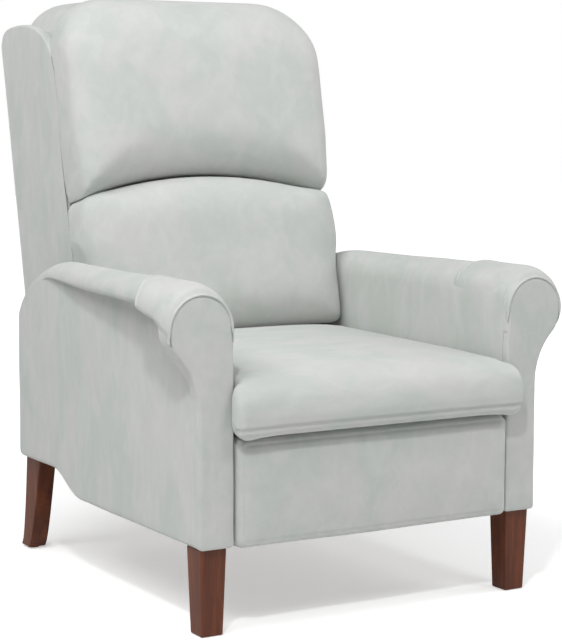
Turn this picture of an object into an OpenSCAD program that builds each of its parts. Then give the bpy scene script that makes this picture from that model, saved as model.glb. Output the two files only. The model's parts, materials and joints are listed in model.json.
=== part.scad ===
// Push-back wing recliner with high legs. Units are millimetres.
// +Z is up, the front faces -Y, and +X is to the right seen from the front.
// The origin is on the floor, under the middle of the overall box.

/* [Arms] */
// Clear width between the two arms
arm_gap = 536; // [500:1:600]
// Thickness of an arm's side slab
arm_t = 60; // [54:1:70]
// Depth of an arm from its front plane to its rear edge
arm_depth = 731; // [700:1:780]
// Height of an arm's underside above the floor
arm_clear = 144; // [130:1:170]
// Height of the arm slab's top above the floor
arm_top = 563; // [550:1:600]
// Length of the level underside before it sweeps up
arm_level_run = 430; // [380:1:450]
// Length of the swept part of the underside
arm_sweep_run = 136; // [110:1:150]
// Rise of the underside behind the sweep
arm_sweep_rise = 42; // [30:1:44]
// Length of the level top before it rounds down to the rear edge
arm_top_run = 516; // [500:1:560]
// Height over which the arm's rear top corner rounds
arm_round_h = 133; // [110:1:150]
// Thickness of the timber side panel in an arm
arm_panel_t = 18; // [15:1:22]
// Padding over the timber side panel's edges
arm_pad = 16; // [10:1:20]
// Cover thickness under the timber panel and round the scroll board
cover_t = 3; // [2:0.5:5]

/* [Arm roll] */
// Half width of the roll at the front
roll_rx = 61; // [55:1:66]
// Height of the roll's dome at the front
roll_rz = 63; // [55:1:66]
// Height of the roll's underside at the front
roll_lip_z = 505; // [500:1:515]
// Distance from the arm's inner face to the front roll's middle
roll_mid = 59; // [55:1:62]
// Half width of the roll at its rear end
roll_rear_rx = 30; // [24:1:30]
// Height of the roll's dome at its rear end
roll_rear_rz = 40; // [30:1:46]
// Height of the roll's underside at its rear end
roll_rear_lip_z = 524; // [515:1:530]
// Distance from the front plane to the roll's rear end
roll_run = 600; // [560:1:620]
// Depth of the front cap on its outer side
cap_run = 106; // [90:1:120]
// Depth of the front cap on its inner side
cap_run_inner = 190; // [170:1:210]

/* [Facings] */
// Thickness of the keyhole facing
facing_t = 15; // [12:1:18]
// Radius of the facing's scroll
scroll_r = 57.5; // [54:0.5:59]
// Height of the scroll's middle
scroll_z = 494; // [488:1:498]
// Distance from the arm's inner face to the scroll's middle
scroll_mid = 57.5; // [57.5:0.5:60]
// Height at which the facing's neck starts to widen
neck_z = 378; // [350:1:390]
// Thickness of the timber scroll board behind the facing
scroll_board_t = 18; // [15:1:22]

/* [Legs] */
// Side of a front leg at its top
front_leg_top = 47.6; // [42:0.1:50]
// Side of a front leg at its foot
front_leg_foot = 34.8; // [30:0.1:40]
// Distance from the front plane to a front leg
front_leg_y = 10; // [8:1:20]
// Distance from the arm's inner face to the middle of a front leg
front_leg_mid = 32.5; // [31:0.5:34]
// Width of a rear leg
rear_leg_w = 34; // [30:1:40]
// Depth of a rear leg at its top
rear_leg_top = 63; // [56:1:68]
// Depth of a rear leg at its foot
rear_leg_foot = 38; // [34:1:42]
// Distance that a rear leg's foot sweeps back past the arm
rear_leg_sweep = 31; // [20:1:40]
// Distance from the arm's inner face to the middle of a rear leg
rear_leg_mid = 27; // [26:0.5:34]
// Thickness of a foot glide
glide_t = 3; // [2:0.5:5]
// Radius of a foot glide
glide_r = 11; // [8:1:13]
// Radius of a leg bolt
leg_bolt_r = 4; // [3:0.5:5]
// Length of a leg bolt in the leg, and again in the arm frame
leg_bolt_grip = 42; // [30:1:50]

/* [Base] */
// Depth of a cross rail
rail_d = 25; // [20:1:30]
// Height of the front cross rail
front_rail_h = 50; // [40:1:60]
// Distance from the front plane to the front cross rail
front_rail_y = 290; // [280:1:320]
// Height of the rear cross rail
rear_rail_h = 27; // [22:1:30]
// Distance from the rear cross rail's cover to the arm's rear edge
rear_rail_in = 3; // [2:1:8]

/* [Slides] */
// How far the seat moves forward
slide_travel = 110; // [90:1:112]
// Thickness of the slide channel's steel
channel_t = 2; // [1.5:0.5:3]
// Depth of the slide channel from web to lip
channel_d = 15; // [12:0.5:15.5]
// Height of the runner bar
runner_h = 20; // [16:1:24]
// Running clearance of the runner in its channel
runner_gap = 0.3; // [0.2:0.1:0.5]
// Length of the slide channel
channel_len = 416; // [400:1:420]
// Length of the runner bar
runner_len = 290; // [250:1:295]
// Distance from the front plane to the slide channel
channel_y = 34; // [32:1:40]
// Radius of a screw's shank
screw_r = 2; // [1.5:0.5:2.5]
// Radius of a screw's head
screw_head_r = 4; // [3:0.5:4.5]
// Thickness of a screw's head
screw_head_t = 0.8; // [0.5:0.1:1]

/* [Seat] */
// Distance from the front plane to the seat frame
seat_frame_y = 40; // [36:1:42]
// Depth of the seat frame
seat_frame_d = 520; // [505:1:525]
// Depth of the steel bar across the seat frame's front
front_bar_d = 18; // [14:1:20]
// Height of the steel bar across the seat frame's front
front_bar_h = 6; // [4:0.5:6]
// Thickness of the seat frame's timber
seat_rail_t = 18; // [16:1:20]
// Height of the seat frame's timber
seat_rail_h = 50; // [44:1:54]
// Height of the seat frame's top above the floor
seat_deck_z = 318; // [314:1:320]
// Thickness of a webbing strap
strap_t = 1.6; // [1.2:0.2:2]
// Width of a webbing strap
strap_w = 50; // [40:1:60]
// Clearance round soft pieces
soft_gap = 0.3; // [0.3:0.1:1]
// Thickness of the seat cushion at its front
seat_front_h = 82; // [75:1:90]
// Thickness of the seat cushion at its rear
seat_rear_h = 96; // [86:1:98]
// Crown of the seat cushion across its width
seat_crown = 10; // [4:1:14]
// Overhang of the seat cushion past the front plane
seat_overhang = 45; // [40:1:50]
// Depth of the seat cushion
seat_d = 595; // [590:1:597]
// Gap between the seat cushion and each arm
seat_side_gap = 3; // [2:0.5:6]
// How far the cushion's front ears reach in front of each arm
seat_ear = 15; // [10:1:20]

/* [Footrest] */
// Height of the footrest panel
foot_h = 169; // [160:1:169]
// Gap between the footrest panel and each arm
foot_side_gap = 6; // [4:1:10]
// Thickness of the footrest board
foot_board_t = 12; // [9:1:15]
// Thickness of the footrest pad
foot_pad_t = 36; // [30:1:37]
// Distance from the front plane back to the footrest board's rear face
foot_back_y = 28; // [26:1:29]
// Radius of the footrest pad's corners
foot_corner = 26; // [15:1:35]

/* [Linkage] */
// Length of the drive link and of the carrier link between pivots
link_len = 185; // [180:1:190]
// Half width of a link
link_hw = 9; // [8:0.5:9.5]
// Thickness of a link
link_t = 3; // [2.5:0.5:3]
// Space between neighbouring links
link_gap = 1; // [0.8:0.1:1.2]
// Angle of the drive link above the horizontal when it is stowed
link_stow_angle = 240; // [238:1:242]
// How far the linkage turns
link_sweep = 90; // [80:1:90]
// Distance between the seat's two link pivots
link_pivot_gap = 70; // [66:1:72]
// Distance from the front plane to the drive link's pivot
link_pivot_y = 75; // [74:1:80]
// Height of the link pivots above the floor
link_pivot_z = 308; // [305:1:309]
// Distance from the front plane to the footrest bracket's pivot
foot_pivot_y = 58; // [56:1:60]
// Height of the footrest bracket's pivot above the floor
foot_pivot_z = 240; // [236:1:242]
// Distance between the two pivots of the footrest bracket
crank_len = 45; // [42:1:46]
// Angle of the footrest bracket's crank above the horizontal
crank_angle = 95; // [92:1:98]
// Radius of a link pin
pin_r = 4; // [3:0.5:4.5]
// Running clearance of a link pin
pin_gap = 0.06; // [0.03:0.01:0.1]
// Radius of a link pin's head
pin_head_r = 7; // [6:0.5:7.5]
// Thickness of a link pin's head
pin_head_t = 1.5; // [1:0.1:1.8]
// Radius of the drive tube
drive_tube_r = 10; // [8:0.5:11]
// Wall of the drive tube
drive_tube_wall = 1.5; // [1:0.1:2]

/* [Back] */
// Lean of the back from upright
back_lean = 12; // [10:0.5:12]
// How far the back reclines
recline = 25; // [15:1:26]
// Distance from the front plane to the outside of the back, at its datum
back_y = 855; // [850:1:865]
// Height of the datum on the outside of the back
back_z = 488; // [480:1:495]
// Half width of the back
back_hw = 262; // [255:1:263]
// Reach of the back below its datum
back_low_h = 180; // [170:1:181]
// Height of the outside panel's top above the datum
panel_rise = 506; // [490:1:515]
// Height of the wings above the datum
wing_rise = 497; // [480:1:505]
// Fall of a wing's top towards its front
wing_fall = 17; // [8:1:25]
// Depth of a wing from the outside of the back
wing_d = 245; // [235:1:245]
// Thickness of a wing
wing_t = 35; // [30:1:35]
// Radius of a wing's rear top corner
wing_rear_r = 28; // [20:1:45]
// Radius of a wing's front top corner
wing_front_r = 60; // [40:1:75]
// Thickness of the outside back panel
panel_t = 8; // [6:1:10]
// Width of a back post
post_w = 27.5; // [24:0.5:30]
// Depth of the back frame's timber
post_d = 50; // [40:1:56]
// Height of a back rail
back_rail_h = 40; // [35:1:50]
// Reach of the back frame up into the crown roll
frame_in_crown = 60; // [40:1:65]
// Half width of the crown roll on top of the back
crown_hw = 224; // [210:1:226]
// Radius of the crown roll's corners
crown_r = 95; // [70:1:110]
// Height of the crown roll's top above the floor
crown_top = 1043; // [1030:1:1055]
// Height of the crown roll's underside above the datum
crown_under = 380; // [370:1:400]
// Distance from the front plane to the recline hinge
hinge_y = 585; // [580:1:590]
// Height of the recline hinge above the floor
hinge_z = 330; // [324:1:331]
// Thickness of the hinge plate on the back
hinge_plate_t = 4; // [3:0.5:4]
// Radius of the recline hinge's bolt
hinge_bolt_r = 5; // [4:0.5:6]
// Radius of the hinge plate's eye
hinge_eye_r = 14; // [11:0.5:15]

/* [Back cushions] */
// Half width of the head cushion
head_hw = 265; // [255:1:265]
// Half width of the lumbar cushion
lumbar_hw = 265; // [255:1:265]
// Reach of the head cushion in front of the wings
head_t = 103; // [90:1:110]
// Reach of the lumbar cushion in front of the wings
lumbar_t = 108; // [95:1:112]
// Height of the head cushion's top above the datum
head_rise = 506; // [495:1:515]
// Radius of the head cushion's top corners
head_r = 100; // [80:1:120]
// Height of the crease above the datum, at the middle
crease_z = 167; // [155:1:180]
// Fall of the crease from its middle to the cushions' sides
crease_fall = 42; // [20:1:50]
// Gap between the head and lumbar cushions
crease_gap = 4; // [2:0.5:6]
// Reach of the lumbar cushion below the datum
lumbar_low_h = 126; // [120:1:128]

/* [Hidden] */
$fn = 48;
// Overrun of a cut past the solid that it cuts
over = 1;
// Thickness of the slices that a hull joins
slice_t = 0.2;
// Points on a half turn of a soft outline
arc_steps = 16;
RIGHT = 1;
LEFT = -1;

// Places across the width
arm_in = arm_gap / 2;
arm_out = arm_in + arm_t;
seat_side_x = arm_in - channel_d - link_gap;
seat_rail_in = seat_side_x - seat_rail_t;
plate_in = seat_rail_in - link_t;
tilt_in = plate_in - link_t - link_gap * 4;
crank_in = tilt_in - link_t - link_gap;
carrier_in = crank_in - link_t - link_gap;

// Places along the depth: the outside panel's top is the rearmost point
depth = back_y + panel_rise * sin(back_lean) + seat_overhang;
front = seat_overhang - depth / 2;

// A run of points on an arc
function arc(c, r, a, b, n = arc_steps) =
    [for (i = [0:n]) c + r * [cos(a + (b - a) * i / n), sin(a + (b - a) * i / n)]];
function lerp(a, b, f) = a + (b - a) * f;

// Mirrors what is modelled on the right to the asked side
module on_side(side) {
    mirror([side < 0 ? 1 : 0, 0, 0]) children();
}

module both_sides() {
    for (side = [RIGHT, LEFT]) on_side(side) children();
}

// Lays a side outline, drawn as [distance from the front plane, height], in
// a slab between two distances from the middle plane
module side_slab(x0, x1) {
    translate([x0, front, 0]) rotate([90, 0, 90]) linear_extrude(x1 - x0) children();
}

// Lays a front outline, drawn as [x, height], in a slab that starts at y
module front_slab(y, t) {
    translate([0, front + y + t, 0]) rotate([90, 0, 0]) linear_extrude(t) children();
}

// Side outline of an arm, drawn in by an inset, with its own inset underneath
function arm_outline(inset, under, y0) =
    let (
        z0 = arm_clear + under,
        rear = arm_depth - inset,
        cz = arm_top - arm_round_h,
        run = arm_level_run,
        sweep = [for (i = [0:arc_steps]) let (f = i / arc_steps)
            [run + arm_sweep_run * f, z0 + arm_sweep_rise * (1 - cos(180 * f)) / 2]],
        round_pts = [for (i = [0:arc_steps]) let (a = 90 * i / arc_steps)
            [arm_top_run + (rear - arm_top_run) * cos(a), cz + (arm_round_h - inset) * sin(a)]]
    )
    concat([[y0, z0]], sweep, [[rear, z0 + arm_sweep_rise]], round_pts, [[y0, arm_top - inset]]);

// Keyhole outline of the facing, drawn in by an inset
neck_side = arm_t - scroll_mid;
neck_rise = scroll_z - neck_z;
module keyhole(inset) {
    r = scroll_r - inset;
    side = neck_side - inset;
    mid_x = arm_in + scroll_mid;
    neck_r = (neck_rise * neck_rise + side * side - r * r) / (2 * (r - side));
    translate([mid_x, scroll_z]) circle(r);
    translate([mid_x - r, arm_clear + inset]) square([r + side, scroll_z - arm_clear - inset]);
    difference() {
        polygon([[mid_x + side - inset, neck_z], [mid_x + side + neck_r, neck_z], [mid_x, scroll_z]]);
        translate([mid_x + side + neck_r, neck_z]) circle(neck_r);
    }
}

// Dome of the roll at one place along the arm
module roll_slice(y, mid, rx, rz, lip) {
    pts = [for (i = [0:arc_steps]) let (a = 180 * i / arc_steps) [mid + rx * cos(a), lip + rz * sin(a)]];
    front_slab(y, slice_t) polygon(pts);
}

module roll_solid(grow) {
    hull() {
        roll_slice(facing_t, arm_in + roll_mid, roll_rx + grow, roll_rz + grow, roll_lip_z);
        roll_slice(roll_run, arm_in + arm_t / 2, roll_rear_rx + grow, roll_rear_rz + grow, roll_rear_lip_z);
    }
}

// The part of the arm in front of the cap's slanting seam
module cap_zone() {
    x0 = arm_in - over - arm_t;
    x1 = arm_in + roll_mid + roll_rx + arm_t;
    xm = arm_in + arm_t / 2;
    outline = [[x0, 0], [x1, 0], [x1, cap_run], [arm_in + roll_mid + roll_rx, cap_run],
        [xm, cap_run_inner], [x0, cap_run_inner]];
    translate([0, front, 0]) linear_extrude(arm_top * 2) polygon(outline);
}

// Places of a leg bolt's axis, right side
front_leg_x = arm_in + front_leg_mid;
rear_leg_x = arm_in + rear_leg_mid;
front_bolt_y = front_leg_y + front_leg_top / 2;
rear_bolt_y = arm_depth - rear_leg_top / 2;
rear_leg_h = arm_clear + arm_sweep_rise;

module leg_bolt(grow) {
    for (p = [[front_leg_x, front_bolt_y, arm_clear], [rear_leg_x, rear_bolt_y, rear_leg_h]])
        translate([p.x, front + p.y, p.z - leg_bolt_grip - grow])
            cylinder(r = leg_bolt_r + grow, h = (leg_bolt_grip + grow) * 2);
}

panel_in = arm_in + (arm_t - arm_panel_t) / 2;
module arm_frame_solid() {
    side_slab(panel_in, panel_in + arm_panel_t)
        polygon(arm_outline(arm_pad, cover_t, facing_t + scroll_board_t));
    front_slab(facing_t, scroll_board_t) keyhole(cover_t);
}

module arm_frame(side) {
    color("BurlyWood") on_side(side) difference() {
        arm_frame_solid();
        leg_bolt(pin_gap);
        channel_screw_shanks(pin_gap);
    }
}

module arm_cover(side) {
    color("Gainsboro") on_side(side) difference() {
        union() {
            side_slab(arm_in, arm_out) polygon(arm_outline(0, 0, facing_t));
            difference() {
                roll_solid(0);
                cap_zone();
            }
        }
        arm_frame_solid();
        leg_bolt(pin_gap);
        channel_screw_shanks(pin_gap);
    }
}

module arm_cap(side) {
    color("Gainsboro") on_side(side) difference() {
        intersection() {
            roll_solid(0);
            cap_zone();
        }
        side_slab(arm_in, arm_out) polygon(arm_outline(0, 0, facing_t));
        arm_frame_solid();
    }
}

module arm_facing(side) {
    color("LightGray") on_side(side) front_slab(0, facing_t) keyhole(0);
}

module front_leg(side) {
    inset = (front_leg_top - front_leg_foot) / 2;
    color("SaddleBrown") on_side(side) difference() {
        translate([front_leg_x, front + front_leg_y, 0]) hull() {
            translate([-front_leg_top / 2, 0, arm_clear - slice_t]) cube([front_leg_top, front_leg_top, slice_t]);
            translate([-front_leg_foot / 2, inset, glide_t]) cube([front_leg_foot, front_leg_foot, slice_t]);
        }
        leg_bolt(pin_gap);
    }
}

// Share of the rear leg's sweep that is left at a share of its height
sweep_power_share = 0.54;
module rear_leg(side) {
    foot_rear = arm_depth + rear_leg_sweep;
    shares = [for (i = [0:arc_steps]) i / arc_steps];
    z_of = [for (f = shares) lerp(glide_t, rear_leg_h, f)];
    rear_edge = [for (i = [0:arc_steps])
        [foot_rear - rear_leg_sweep * pow(shares[i], sweep_power_share), z_of[i]]];
    front_foot = foot_rear - rear_leg_foot;
    front_top = arm_depth - rear_leg_top;
    color("SaddleBrown") on_side(side) difference() {
        side_slab(rear_leg_x - rear_leg_w / 2, rear_leg_x + rear_leg_w / 2)
            polygon(concat([[front_top, rear_leg_h], [front_foot, glide_t]], rear_edge));
        leg_bolt(pin_gap);
    }
}

module leg_bolts() {
    color("Silver") both_sides() leg_bolt(0);
}

module foot_glides() {
    rear_y = arm_depth + rear_leg_sweep - rear_leg_foot / 2;
    color("DimGray") both_sides()
        for (p = [[front_leg_x, front_bolt_y], [rear_leg_x, rear_y]])
            translate([p.x, front + p.y, 0]) cylinder(r = glide_r, h = glide_t);
}

module front_cross_rail() {
    color("BurlyWood") translate([-arm_in, front + front_rail_y, arm_clear + cover_t])
        cube([arm_gap, rail_d, front_rail_h]);
}

rear_rail_y = arm_depth - rear_rail_in - cover_t - rail_d;
rear_rail_z = rear_leg_h;
module rear_cross_rail() {
    color("BurlyWood") translate([-arm_in, front + rear_rail_y, rear_rail_z])
        cube([arm_gap, rail_d, rear_rail_h]);
}

module rear_rail_cover() {
    color("Gainsboro") difference() {
        translate([-arm_in, front + rear_rail_y - cover_t, rear_rail_z - cover_t])
            cube([arm_gap, rail_d + cover_t * 2, rear_rail_h + cover_t * 2]);
        translate([-arm_in - over, front + rear_rail_y, rear_rail_z])
            cube([arm_gap + over * 2, rail_d, rear_rail_h]);
    }
}

// Slides: the channel is on the arm, the runner on the seat's side rail
channel_h = runner_h + (channel_t + runner_gap) * 2;
channel_z = seat_deck_z - seat_rail_h / 2 - channel_h / 2;
runner_y = channel_y + slide_travel + channel_t * 3;
module slide_channel(side) {
    color("Silver") on_side(side) difference() {
        translate([arm_in - channel_d, front + channel_y, channel_z]) difference() {
            cube([channel_d, channel_len, channel_h]);
            translate([-over, -over, channel_t])
                cube([channel_d - channel_t + over, channel_len + over * 2, channel_h - channel_t * 2]);
        }
        channel_screw_shanks(pin_gap);
    }
}

// Screws stand at even steps along the channel
screw_count = 4;
screw_step = channel_len / screw_count;
screw_places = [for (i = [0:screw_count - 1]) screw_step * (i + 1 / 2)];

// Shanks of the screws that hold a channel to the timber in the arm
module channel_screw_shanks(grow) {
    reach = panel_in + arm_panel_t / 2;
    x0 = arm_in - channel_t - grow;
    for (y = screw_places)
        translate([x0, front + channel_y + y, channel_z + channel_h / 2])
            rotate([0, 90, 0]) cylinder(r = screw_r + grow, h = reach - x0 + grow);
}

module channel_screws() {
    x0 = arm_in - channel_t - screw_head_t;
    color("Silver") both_sides() {
        channel_screw_shanks(0);
        for (y = screw_places)
            translate([x0, front + channel_y + y, channel_z + channel_h / 2])
                rotate([0, 90, 0]) cylinder(r = screw_head_r, h = screw_head_t);
    }
}

module slide_runners() {
    w = arm_in - channel_t - screw_head_t - runner_gap - seat_side_x;
    color("Silver") both_sides()
        translate([seat_side_x, front + runner_y, channel_z + channel_t + runner_gap])
            cube([w, runner_len, runner_h]);
}

// Seat frame, webbing and cushion
seat_rail_z = seat_deck_z - seat_rail_h;
module seat_front_bar() {
    color("Silver") translate([-seat_side_x, front + seat_frame_y, seat_deck_z - front_bar_h])
        cube([seat_side_x * 2, front_bar_d, front_bar_h]);
}

module seat_rail_rear() {
    color("BurlyWood") translate([-plate_in, front + seat_frame_y + seat_frame_d - seat_rail_t, seat_rail_z])
        cube([plate_in * 2, seat_rail_t, seat_rail_h]);
}

module seat_side_rail(side) {
    color("BurlyWood") on_side(side)
        translate([seat_rail_in, front + seat_frame_y + front_bar_d, seat_rail_z])
            cube([seat_rail_t, seat_frame_d - front_bar_d, seat_rail_h]);
}

seat_strap_count = 5;
module seat_webbing() {
    pitch_x = seat_rail_in * 2 / seat_strap_count;
    pitch_y = seat_frame_d / (seat_strap_count + 1);
    color("DimGray") {
        for (i = [0:seat_strap_count - 1])
            translate([pitch_x * (i + 1 / 2) - seat_rail_in - strap_w / 2, front + seat_frame_y, seat_deck_z])
                cube([strap_w, seat_frame_d, strap_t]);
        for (i = [1:seat_strap_count])
            translate([-seat_side_x, front + seat_frame_y + pitch_y * i - strap_w / 2, seat_deck_z + strap_t])
                cube([seat_side_x * 2, strap_w, strap_t]);
    }
}

// Joins rings of points, all with the same count, into one closed solid of
// triangles, with a fan over the first ring and over the last
module skin_rings(rings, first_mid, last_mid) {
    n = len(rings[0]);
    m = len(rings);
    pts = concat([for (ring = rings) each ring], [first_mid, last_mid]);
    walls = [for (j = [0:m - 2]) for (i = [0:n - 1]) let (
        a = j * n + i, b = j * n + (i + 1) % n, c = a + n, d = b + n
    ) each [[a, c, b], [b, c, d]]];
    first_fan = [for (i = [0:n - 1]) [n * m, i, (i + 1) % n]];
    last_fan = [for (i = [0:n - 1]) [n * m + 1, (m - 1) * n + (i + 1) % n, (m - 1) * n + i]];
    polyhedron(pts, concat(walls, first_fan, last_fan));
}

// One boxy ring of the seat cushion, crowned on top
box_power_share = 0.4;
seat_ring_points = 36;
function seat_ring(y, w, zb, zt, crown) = [
    for (i = [0:seat_ring_points - 1]) let (
        a = -360 * i / seat_ring_points,
        px = sign(cos(a)) * pow(abs(cos(a)), box_power_share),
        pz = sign(sin(a)) * pow(abs(sin(a)), box_power_share),
        rise = pz > 0 ? crown * (1 - px * px) * pz : 0
    ) [w * px, front + y, (zb + zt) / 2 + (zt - zb) / 2 * pz + rise]
];

seat_z = seat_deck_z + strap_t * 2 + soft_gap;
// Shares of the nose's depth, of the full height and of the full width
nose_shares = [[0, 0.42, 0.93], [0.06, 0.62, 0.96], [0.2, 0.8, 0.98], [0.45, 0.93, 1], [0.8, 0.99, 1]];
// Share of the nose's lift that its underside takes
nose_low_share = 0.45;
// Shares of the rounding's depth, of the full height and of the full width at the rear
tail_shares = [[0, 1, 1], [0.5, 0.95, 0.99], [0.85, 0.8, 0.96], [1, 0.6, 0.93]];
module seat_cushion() {
    w_in = arm_in - seat_side_gap;
    w_ear = arm_in + seat_ear;
    nose = seat_overhang - seat_side_gap - soft_gap;
    y_end = seat_d - seat_overhang;
    tail = seat_rear_h / 3;
    h_at = function(y) lerp(seat_front_h, seat_rear_h, (y + seat_overhang) / seat_d);
    trim = function(y, hs) h_at(y) * (1 - hs);
    nose_rings = [for (k = nose_shares) let (y = k.x * nose - seat_overhang)
        seat_ring(y, w_ear * k.z, seat_z + trim(y, k.y) * nose_low_share,
            seat_z + h_at(y) - trim(y, k.y) * (1 - nose_low_share), seat_crown * k.y)];
    ear_y = -seat_side_gap;
    body = [[ear_y - soft_gap, w_ear], [ear_y, w_in], [seat_d / 8, w_in], [seat_d * 3 / 8, w_in],
        [seat_d * 5 / 8, w_in]];
    body_rings = [for (b = body) seat_ring(b.x, b.y, seat_z, seat_z + h_at(b.x), seat_crown)];
    tail_rings = [for (k = tail_shares) let (y = y_end - tail * (1 - k.x))
        seat_ring(y, w_in * k.z, seat_z + trim(y, k.y) / 2, seat_z + h_at(y) - trim(y, k.y) / 2,
            seat_crown * k.y)];
    mid_front = [0, front - seat_overhang, seat_z + seat_front_h * nose_low_share];
    mid_rear = [0, front + y_end, seat_z + seat_rear_h / 2];
    color("Gainsboro") skin_rings(concat(nose_rings, body_rings, tail_rings), mid_front, mid_rear);
}

// Footrest linkage: places are [distance from the front plane, height]
function link_way(a) = [-cos(a), sin(a)];
drive_pivot = [link_pivot_y, link_pivot_z];
guide_pivot = drive_pivot + [link_pivot_gap, 0];
drive_end = drive_pivot + link_len * link_way(link_stow_angle);
guide_end = drive_end + [link_pivot_gap, 0];
foot_pivot = [foot_pivot_y, foot_pivot_z];
crank = crank_len * link_way(crank_angle);
crank_end = drive_end + crank;
tilt_end = foot_pivot + crank;
tube_mid = (drive_pivot + drive_end) / 2;

// Width of a bar between its eyes, as a share of theirs
bar_neck_share = 0.9;
module bar_outline(p, q, hw) {
    d = q - p;
    neck = hw * bar_neck_share;
    for (c = [p, q]) translate(c) circle(hw);
    translate(p) rotate(atan2(d.y, d.x)) translate([0, -neck]) square([norm(d), neck * 2]);
}

module bore_outline(p, r) {
    translate(p) circle(r + pin_gap);
}

// A flat link of one or more bars with a bore at each pivot
module flat_link(x, t, bars, pivots, hw = link_hw, r = pin_r) {
    side_slab(x, x + t) difference() {
        for (b = bars) bar_outline(b[0], b[1], hw);
        for (p = pivots) bore_outline(p, r);
    }
}

module cross_pin(p, x0, x1, r) {
    translate([x0, front + p.x, p.y]) rotate([0, 90, 0]) cylinder(r = r, h = x1 - x0);
}

// A pin through two neighbouring links, flush with x0 and headed past x1
module flush_pin(p, x0, x1) {
    cross_pin(p, x0, x1 + pin_gap, pin_r);
    cross_pin(p, x1 + pin_gap, x1 + pin_gap + pin_head_t, pin_head_r);
}

// A pin through two neighbouring links, headed on both sides
module link_pin(p, x0, x1) {
    cross_pin(p, x0 - pin_gap, x1 + pin_gap, pin_r);
    cross_pin(p, x0 - pin_gap - pin_head_t, x0 - pin_gap, pin_head_r);
    cross_pin(p, x1 + pin_gap, x1 + pin_gap + pin_head_t, pin_head_r);
}

module link_plate(side) {
    color("Silver") on_side(side)
        flat_link(plate_in, link_t, [[drive_pivot, guide_pivot]], [drive_pivot, guide_pivot]);
}

module seat_link_pins() {
    x1 = crank_in + link_t + pin_gap;
    color("Gray") both_sides() for (p = [drive_pivot, guide_pivot]) {
        cross_pin(p, crank_in - pin_gap, seat_rail_in, pin_r);
        cross_pin(p, crank_in - pin_gap - pin_head_t, crank_in - pin_gap, pin_head_r);
        cross_pin(p, x1, plate_in, pin_head_r);
    }
}

module drive_link(side) {
    color("DarkGray") on_side(side) flat_link(crank_in, link_t,
        [[drive_pivot, drive_end], [drive_end, crank_end]], [drive_pivot, drive_end, crank_end]);
}

module drive_tube() {
    color("DimGray") difference() {
        cross_pin(tube_mid, -crank_in, crank_in, drive_tube_r);
        cross_pin(tube_mid, -crank_in - over, crank_in + over, drive_tube_r - drive_tube_wall);
    }
}

module drive_link_pins() {
    color("Gray") both_sides() {
        link_pin(drive_end, carrier_in, crank_in + link_t);
        flush_pin(crank_end, crank_in, tilt_in + link_t);
    }
}

module carrier_links() {
    color("DarkGray") both_sides()
        flat_link(crank_in, link_t, [[guide_pivot, guide_end]], [guide_pivot, guide_end]);
}

module carrier_plates() {
    color("DarkGray") both_sides() flat_link(carrier_in, link_t,
        [[guide_end, drive_end], [drive_end, foot_pivot]], [guide_end, drive_end, foot_pivot]);
}

module carrier_pins() {
    color("Gray") both_sides() {
        link_pin(guide_end, carrier_in, crank_in + link_t);
        link_pin(foot_pivot, carrier_in, crank_in + link_t);
    }
}

module tilt_links() {
    color("DarkGray") both_sides()
        flat_link(tilt_in, link_t, [[crank_end, tilt_end]], [crank_end, tilt_end]);
}

module footrest_brackets() {
    ear_over = link_hw * bar_neck_share;
    ear_low = foot_pivot.y - ear_over;
    ear_h = tilt_end.y - foot_pivot.y + ear_over * 2;
    color("Silver") both_sides() {
        side_slab(crank_in, crank_in + link_t) difference() {
            union() {
                bar_outline(foot_pivot, tilt_end, link_hw);
                translate([foot_back_y, ear_low]) square([tilt_end.x - foot_back_y, ear_h]);
            }
            for (p = [foot_pivot, tilt_end]) bore_outline(p, pin_r);
        }
        translate([crank_in - link_hw * 3, front + foot_back_y, ear_low])
            cube([link_hw * 3, link_t, ear_h]);
    }
}

module bracket_pins() {
    color("Gray") both_sides() flush_pin(tilt_end, crank_in, tilt_in + link_t);
}

// Footrest panel
foot_hw = arm_in - foot_side_gap;
module footrest_board() {
    inset = foot_corner / 3;
    color("BurlyWood") translate([inset - foot_hw, front + foot_back_y - foot_board_t, arm_clear + inset])
        cube([(foot_hw - inset) * 2, foot_board_t, foot_h - inset * 2]);
}

// Puffs an outline, drawn as [x, height], forward from the plane y = 0.
// Each level is a share of the thickness and a share of the outline's size.
module puffed(outline, mid, t, levels) {
    rings = [for (k = levels) [for (p = outline) let (q = mid + (p - mid) * k.y) [q.x, -t * k.x, q.y]]];
    skin_rings(rings, [mid.x, 0, mid.y], [mid.x, -t, mid.y]);
}

function round_box(x0, z0, x1, z1, r_low, r_high) = concat(
    arc([x1 - r_low, z0 + r_low], r_low, -90, 0, arc_steps / 2),
    arc([x1 - r_high, z1 - r_high], r_high, 0, 90, arc_steps / 2),
    arc([x0 + r_high, z1 - r_high], r_high, 90, 180, arc_steps / 2),
    arc([x0 + r_low, z0 + r_low], r_low, 180, 270, arc_steps / 2)
);

pad_shares = [[0, 1], [0.45, 1], [0.75, 0.985], [0.92, 0.955], [1, 0.9]];
module footrest_pad() {
    z1 = arm_clear + foot_h;
    outline = round_box(-foot_hw, arm_clear, foot_hw, z1, foot_corner / 2, foot_corner);
    color("Gainsboro") translate([0, front + foot_back_y - foot_board_t, 0])
        puffed(outline, [0, (arm_clear + z1) / 2], foot_pad_t, pad_shares);
}

// The back is modelled upright behind its datum, then leaned: x is across,
// -y is towards the front and z is up the back
module on_back() {
    translate([0, front + back_y, back_z]) rotate([-back_lean, 0, 0]) children();
}

module back_box(x0, x1, t0, t1, s0, s1) {
    translate([x0, -t1, s0]) cube([x1 - x0, t1 - t0, s1 - s0]);
}

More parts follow.
